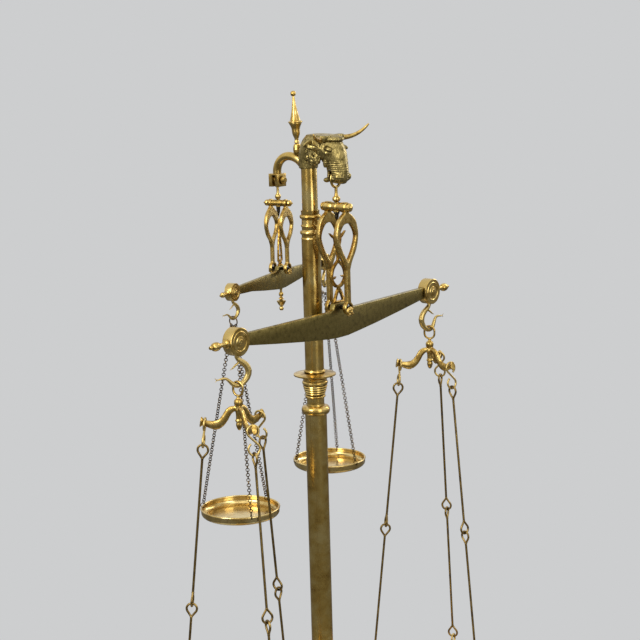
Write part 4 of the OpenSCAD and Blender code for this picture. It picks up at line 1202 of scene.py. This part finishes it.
@dataclass
class LinkedPan(SubAssembly):
    """Large pan on three chains of long eyed rods, under a three-armed spider.

    Each arm is a casting that is deeper between the hub and its tip. Sizes are in millimetres.
    """

    side: str
    skin: float = 0.9
    arm_depth: float = 3.6
    hub_r: float = 9.0
    arm_reach: float = 52.0
    ring_height: float = 8.0

    def build(self) -> None:
        """Skin the spider as one casting and dress the rods, the S-hooks and the pan."""
        place = f"front_{self.side}"
        node = f"{place}_spider"
        spider = Bench.skinned(node, self.skin, 4)
        hub = self.hub(spider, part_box(node)[1][2])
        for vertex in spider.data.vertices:
            out = math.hypot(vertex.co.x - hub.x, vertex.co.y - hub.y) / MM
            deep = max(0.0, math.sin(math.pi * unit((out - self.hub_r) / self.arm_reach)))
            vertex.co.z += vertex.normal.z * self.arm_depth * deep * MM
        self.seat(spider, f"{place}_cast_spider", f"{place}_pan_set", CAST, node)
        self.dress(AGED, f"{place}_s_hooks")
        self.dress(BROWNED, f"{place}_upper_rods", f"{place}_lower_rods")
        self.dress(PLANISHED, f"{place}_pan")

    def hub(self, spider: Piece, top: float) -> Vector:
        """Find the spider's axis from the points of its ring, at its top.

        Args:
            spider: the spider.
            top: the height of its top, in metres.

        Returns:
            The middle of the ring's points.
        """
        near = [v.co for v in spider.data.vertices if v.co.z > top - self.ring_height * MM]
        return sum(near, Vector()) / len(near)


@dataclass
class ChainedPan(SubAssembly):
    """Small dished pan of the rear balance on three link chains. Sizes are in millimetres.

    Every second link is turned a quarter turn, and each link hooks through its neighbours, as
    hand-closed round links do.
    """

    side: str
    wire_r: float = 0.8
    link_r: float = 3.3
    first_link: float = 11.8
    foot_ring_r: float = 5.0
    foot_ring_wire: float = 0.8
    top_ring_r: float = 10.0
    top_ring_wire: float = 1.2
    pan_ring_r: float = 77.3
    foot_z: float = -437.455
    ring_z: float = -57.955
    slack: float = 0.1
    # Degrees by which each chain's top leans round the top ring, and by which chains twist
    leans: Point = (0.0, 36.0, -36.0)
    twist: float = 70.0
    # The beam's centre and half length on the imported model, in metres, and turns in degrees
    beam_place: Point = (0.0, 0.0825, 1.0685)
    beam_half: float = 0.1975
    beam_turn: float = 11.3
    pan_turn: float = 14.0

    def place(self) -> Matrix:
        """Give the pan set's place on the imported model, in metres.

        Returns:
            The matrix from the pan set's own frame to the model's.
        """
        out = -1 if self.side == "left" else 1
        beam = Matrix.Translation(self.beam_place) @ Matrix.Rotation(
            math.radians(self.beam_turn), 4, "Z"
        )
        arm = Matrix.Translation((out * self.beam_half, 0.0, 0.0))
        return beam @ arm @ Matrix.Rotation(math.radians(out * self.pan_turn), 4, "Z")

    def chain(self, number: int, link: Piece, foot_ring: Piece) -> list[Piece]:
        """Lay one chain from the pan's edge up to the top ring.

        Args:
            number: which chain it is, from 0.
            link: the link to copy, made flat about the origin.
            foot_ring: the foot ring to copy, made in the same way.

        Returns:
            The foot ring and the links, from the lowest.
        """
        around = math.radians(120 * number)
        foot = Vector(
            (self.pan_ring_r * math.cos(around), self.pan_ring_r * math.sin(around), self.foot_z)
        )
        swing = math.radians(self.leans[number])
        reach = self.top_ring_r
        top = Vector((0.0, reach * math.sin(swing), self.ring_z - reach * math.cos(swing)))
        along = (top - foot).normalized()
        lay = along.to_track_quat("X", "Z").to_matrix().to_4x4()
        edgewise = lay @ Matrix.Rotation(math.pi / 2, 4, "X")
        parts = [Bench.laid(foot_ring, foot + along * self.foot_ring_r, edgewise)]
        start = foot + along * self.first_link
        hold = self.link_r - self.wire_r
        clear = self.top_ring_wire + self.wire_r * abs(math.sin(swing))
        last = clear / math.cos(swing) + self.slack - hold
        whole = (top - start).length + last
        count = round(whole / (2 * hold))
        step = whole / count
        for n in range(count + 1):
            twist = math.radians(self.twist) * math.sin(math.pi * n / count + 0.6 * number)
            turn = lay @ Matrix.Rotation((n % 2) * math.pi / 2 + twist, 4, "X")
            parts.append(Bench.laid(link, start + along * (step * n), turn))
        return parts

    def build(self) -> None:
        """Build the chains link by link, with their rings, and dress the pan."""
        name = f"rear_{self.side}"
        link = Bench.ring(ORIGIN, self.link_r, self.wire_r, Axis.Z, (12, 6))
        foot_ring = Bench.ring(ORIGIN, self.foot_ring_r, self.foot_ring_wire, Axis.Z, (24, 8))
        parts = [
            Bench.ring(
                (0.0, 0.0, self.ring_z), self.top_ring_r, self.top_ring_wire, Axis.X, (48, 12)
            )
        ]
        for number in range(3):
            parts += self.chain(number, link, foot_ring)
        for pattern in (link, foot_ring):
            bpy.data.objects.remove(pattern)
        made = Bench.join(parts)
        made.data.transform(self.place())
        Bench.smooth(made, 60)
        self.seat(made, f"{name}_link_chains", f"{name}_pan_set", DARK_LINKS, f"{name}_chains")
        self.dress(PLANISHED, f"{name}_pan")


class Studio:
    """Camera, lights, floor and backdrop of the photograph. Places and sizes are in metres."""

    lens_mm: float = 95.625
    eye: Point = (-2.6301, -2.1170, 1.6230)
    # Turns of the camera, in degrees
    azimuth: float = 51.4
    rise: float = 10.7
    roll: float = 1.6
    # Name, place, the point that it faces, width and height, and watts of each lamp
    lamps: tuple[tuple[str, Point, Point, Span, float], ...] = (
        ("key_window", (-2.7, 0.1, 2.4), (0, 0, 1.1), (1.2, 2.4), 62.0),
        ("fill_wall", (-0.9, -3.0, 1.7), (0, 0, 0.95), (1.4, 2.4), 26.0),
        ("rim_window", (2.5, -0.5, 2.0), (0, 0, 1.0), (0.7, 2.2), 20.0),
        ("top_soft", (-0.4, -0.6, 3.2), (0, 0, 1.2), (1.8, 1.8), 12.0),
    )
    # Grey of the room from straight down to straight up
    room: tuple[Span, ...] = ((0.0, 0.14), (0.40, 0.20), (0.48, 0.42), (0.57, 0.88), (1.0, 1.0))
    wall: str = "#cdcecf"
    floor_grey: str = "#a3a4a5"
    floor_radius: float = 0.72
    floor_height: float = 0.01
    # The disc's middle: its top is half a millimetre under the scale
    floor_z: float = -0.0055

    @classmethod
    def camera(cls) -> None:
        """Stand the camera where the photographer stood."""
        turn, up, tilt = (math.radians(a) for a in (cls.azimuth, cls.rise, cls.roll))
        right = Vector((math.cos(turn), -math.sin(turn), 0.0))
        back = Vector(
            (-math.sin(turn) * math.cos(up), -math.cos(turn) * math.cos(up), math.sin(up))
        )
        over = back.cross(right)
        axis_x = right * math.cos(tilt) - over * math.sin(tilt)
        axis_y = right * math.sin(tilt) + over * math.cos(tilt)
        Bench.clear()
        bpy.ops.object.camera_add()
        camera = bpy.context.object
        camera.name = "photo_camera"
        camera.data.lens = cls.lens_mm
        camera.data.sensor_width = 36.0
        camera.data.clip_end = 30.0
        rows = zip(axis_x, axis_y, back, cls.eye)
        camera.matrix_world = Matrix((*rows, (0.0, 0.0, 0.0, 1.0)))
        bpy.context.scene.camera = camera

    @staticmethod
    def lamp(name: str, at: Point, target: Point, size: Span, watts: float) -> None:
        """Add a soft rectangular lamp.

        Args:
            name: its name.
            at: its place.
            target: the point that it faces.
            size: its width and height.
            watts: its power.
        """
        Bench.clear()
        bpy.ops.object.light_add(type="AREA", location=at)
        lamp = bpy.context.object
        lamp.name = name
        lamp.data.shape = "RECTANGLE"
        lamp.data.size, lamp.data.size_y = size
        lamp.data.energy = watts
        lamp.rotation_euler = (Vector(target) - Vector(at)).to_track_quat("-Z", "Y").to_euler()

    @classmethod
    def world(cls) -> None:
        """Light with a soft grey room and show a plain pale wall to the camera."""
        world = bpy.data.worlds.new("studio_room")
        bpy.context.scene.world = world
        world.use_nodes = True
        tree = world.node_tree
        tree.nodes.clear()
        path = add_node(tree, "ShaderNodeLightPath")
        place = add_node(tree, "ShaderNodeTexCoord").outputs["Generated"]
        split = add_node(tree, "ShaderNodeSeparateXYZ", {"Vector": place})
        # Height from -1 to 1, brought to 0 to 1
        shade = add_node(
            tree,
            "ShaderNodeMath",
            {0: split.outputs["Z"], 1: 0.5, 2: 0.5},
            operation="MULTIPLY_ADD",
        )
        room = ramp(tree, shade.outputs["Value"], cls.room)
        wall, soft = (
            add_node(tree, "ShaderNodeBackground", {"Color": colour, "Strength": 1.0}).outputs[
                "Background"
            ]
            for colour in (linear(cls.wall), room)
        )
        out = add_node(
            tree, "ShaderNodeMixShader", {0: path.outputs["Is Camera Ray"], 1: soft, 2: wall}
        ).outputs["Shader"]
        add_node(tree, "ShaderNodeOutputWorld", {"Surface": out})

    @classmethod
    def floor(cls) -> None:
        """Lay a plain pale disc under the scale, small enough to stay out of the photo's view."""
        Bench.clear()
        bpy.ops.mesh.primitive_cylinder_add(
            vertices=96, radius=cls.floor_radius, depth=cls.floor_height
        )
        floor = bpy.context.object
        floor.name = "studio_floor"
        floor.location = (0.0, 0.0, cls.floor_z)
        Bench.bake_place(floor)
        paint = bpy.data.materials.new("studio_floor_paint")
        paint.use_nodes = True
        tree = paint.node_tree
        tree.nodes.clear()
        coat = add_node(
            tree,
            "ShaderNodeBsdfPrincipled",
            {"Base Color": linear(cls.floor_grey), "Roughness": 0.8},
        ).outputs["BSDF"]
        add_node(tree, "ShaderNodeOutputMaterial", {"Surface": coat})
        floor.data.materials.append(paint)

    @classmethod
    def build(cls) -> None:
        """Set up the whole studio."""
        cls.camera()
        cls.world()
        cls.floor()
        for row in cls.lamps:
            cls.lamp(*row)
        bpy.context.scene.view_settings.view_transform = "Standard"


def main() -> None:
    """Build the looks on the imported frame."""
    logging.basicConfig(level=logging.INFO, format="%(message)s")
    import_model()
    assemblies: list[SubAssembly] = [Stand(), BullHead()]
    assemblies += [kind(balance) for kind in (Shears, Beam) for balance in BALANCES]
    assemblies += [HookSet(balance, side) for balance in BALANCES for side in SIDES]
    assemblies += [kind(side) for kind in (LinkedPan, ChainedPan) for side in SIDES]
    for assembly in assemblies:
        assembly.build()
        LOG.info("%s: %d pieces", type(assembly).__name__, len(assembly.made))
    Studio.build()


if __name__ == "__main__":
    main()
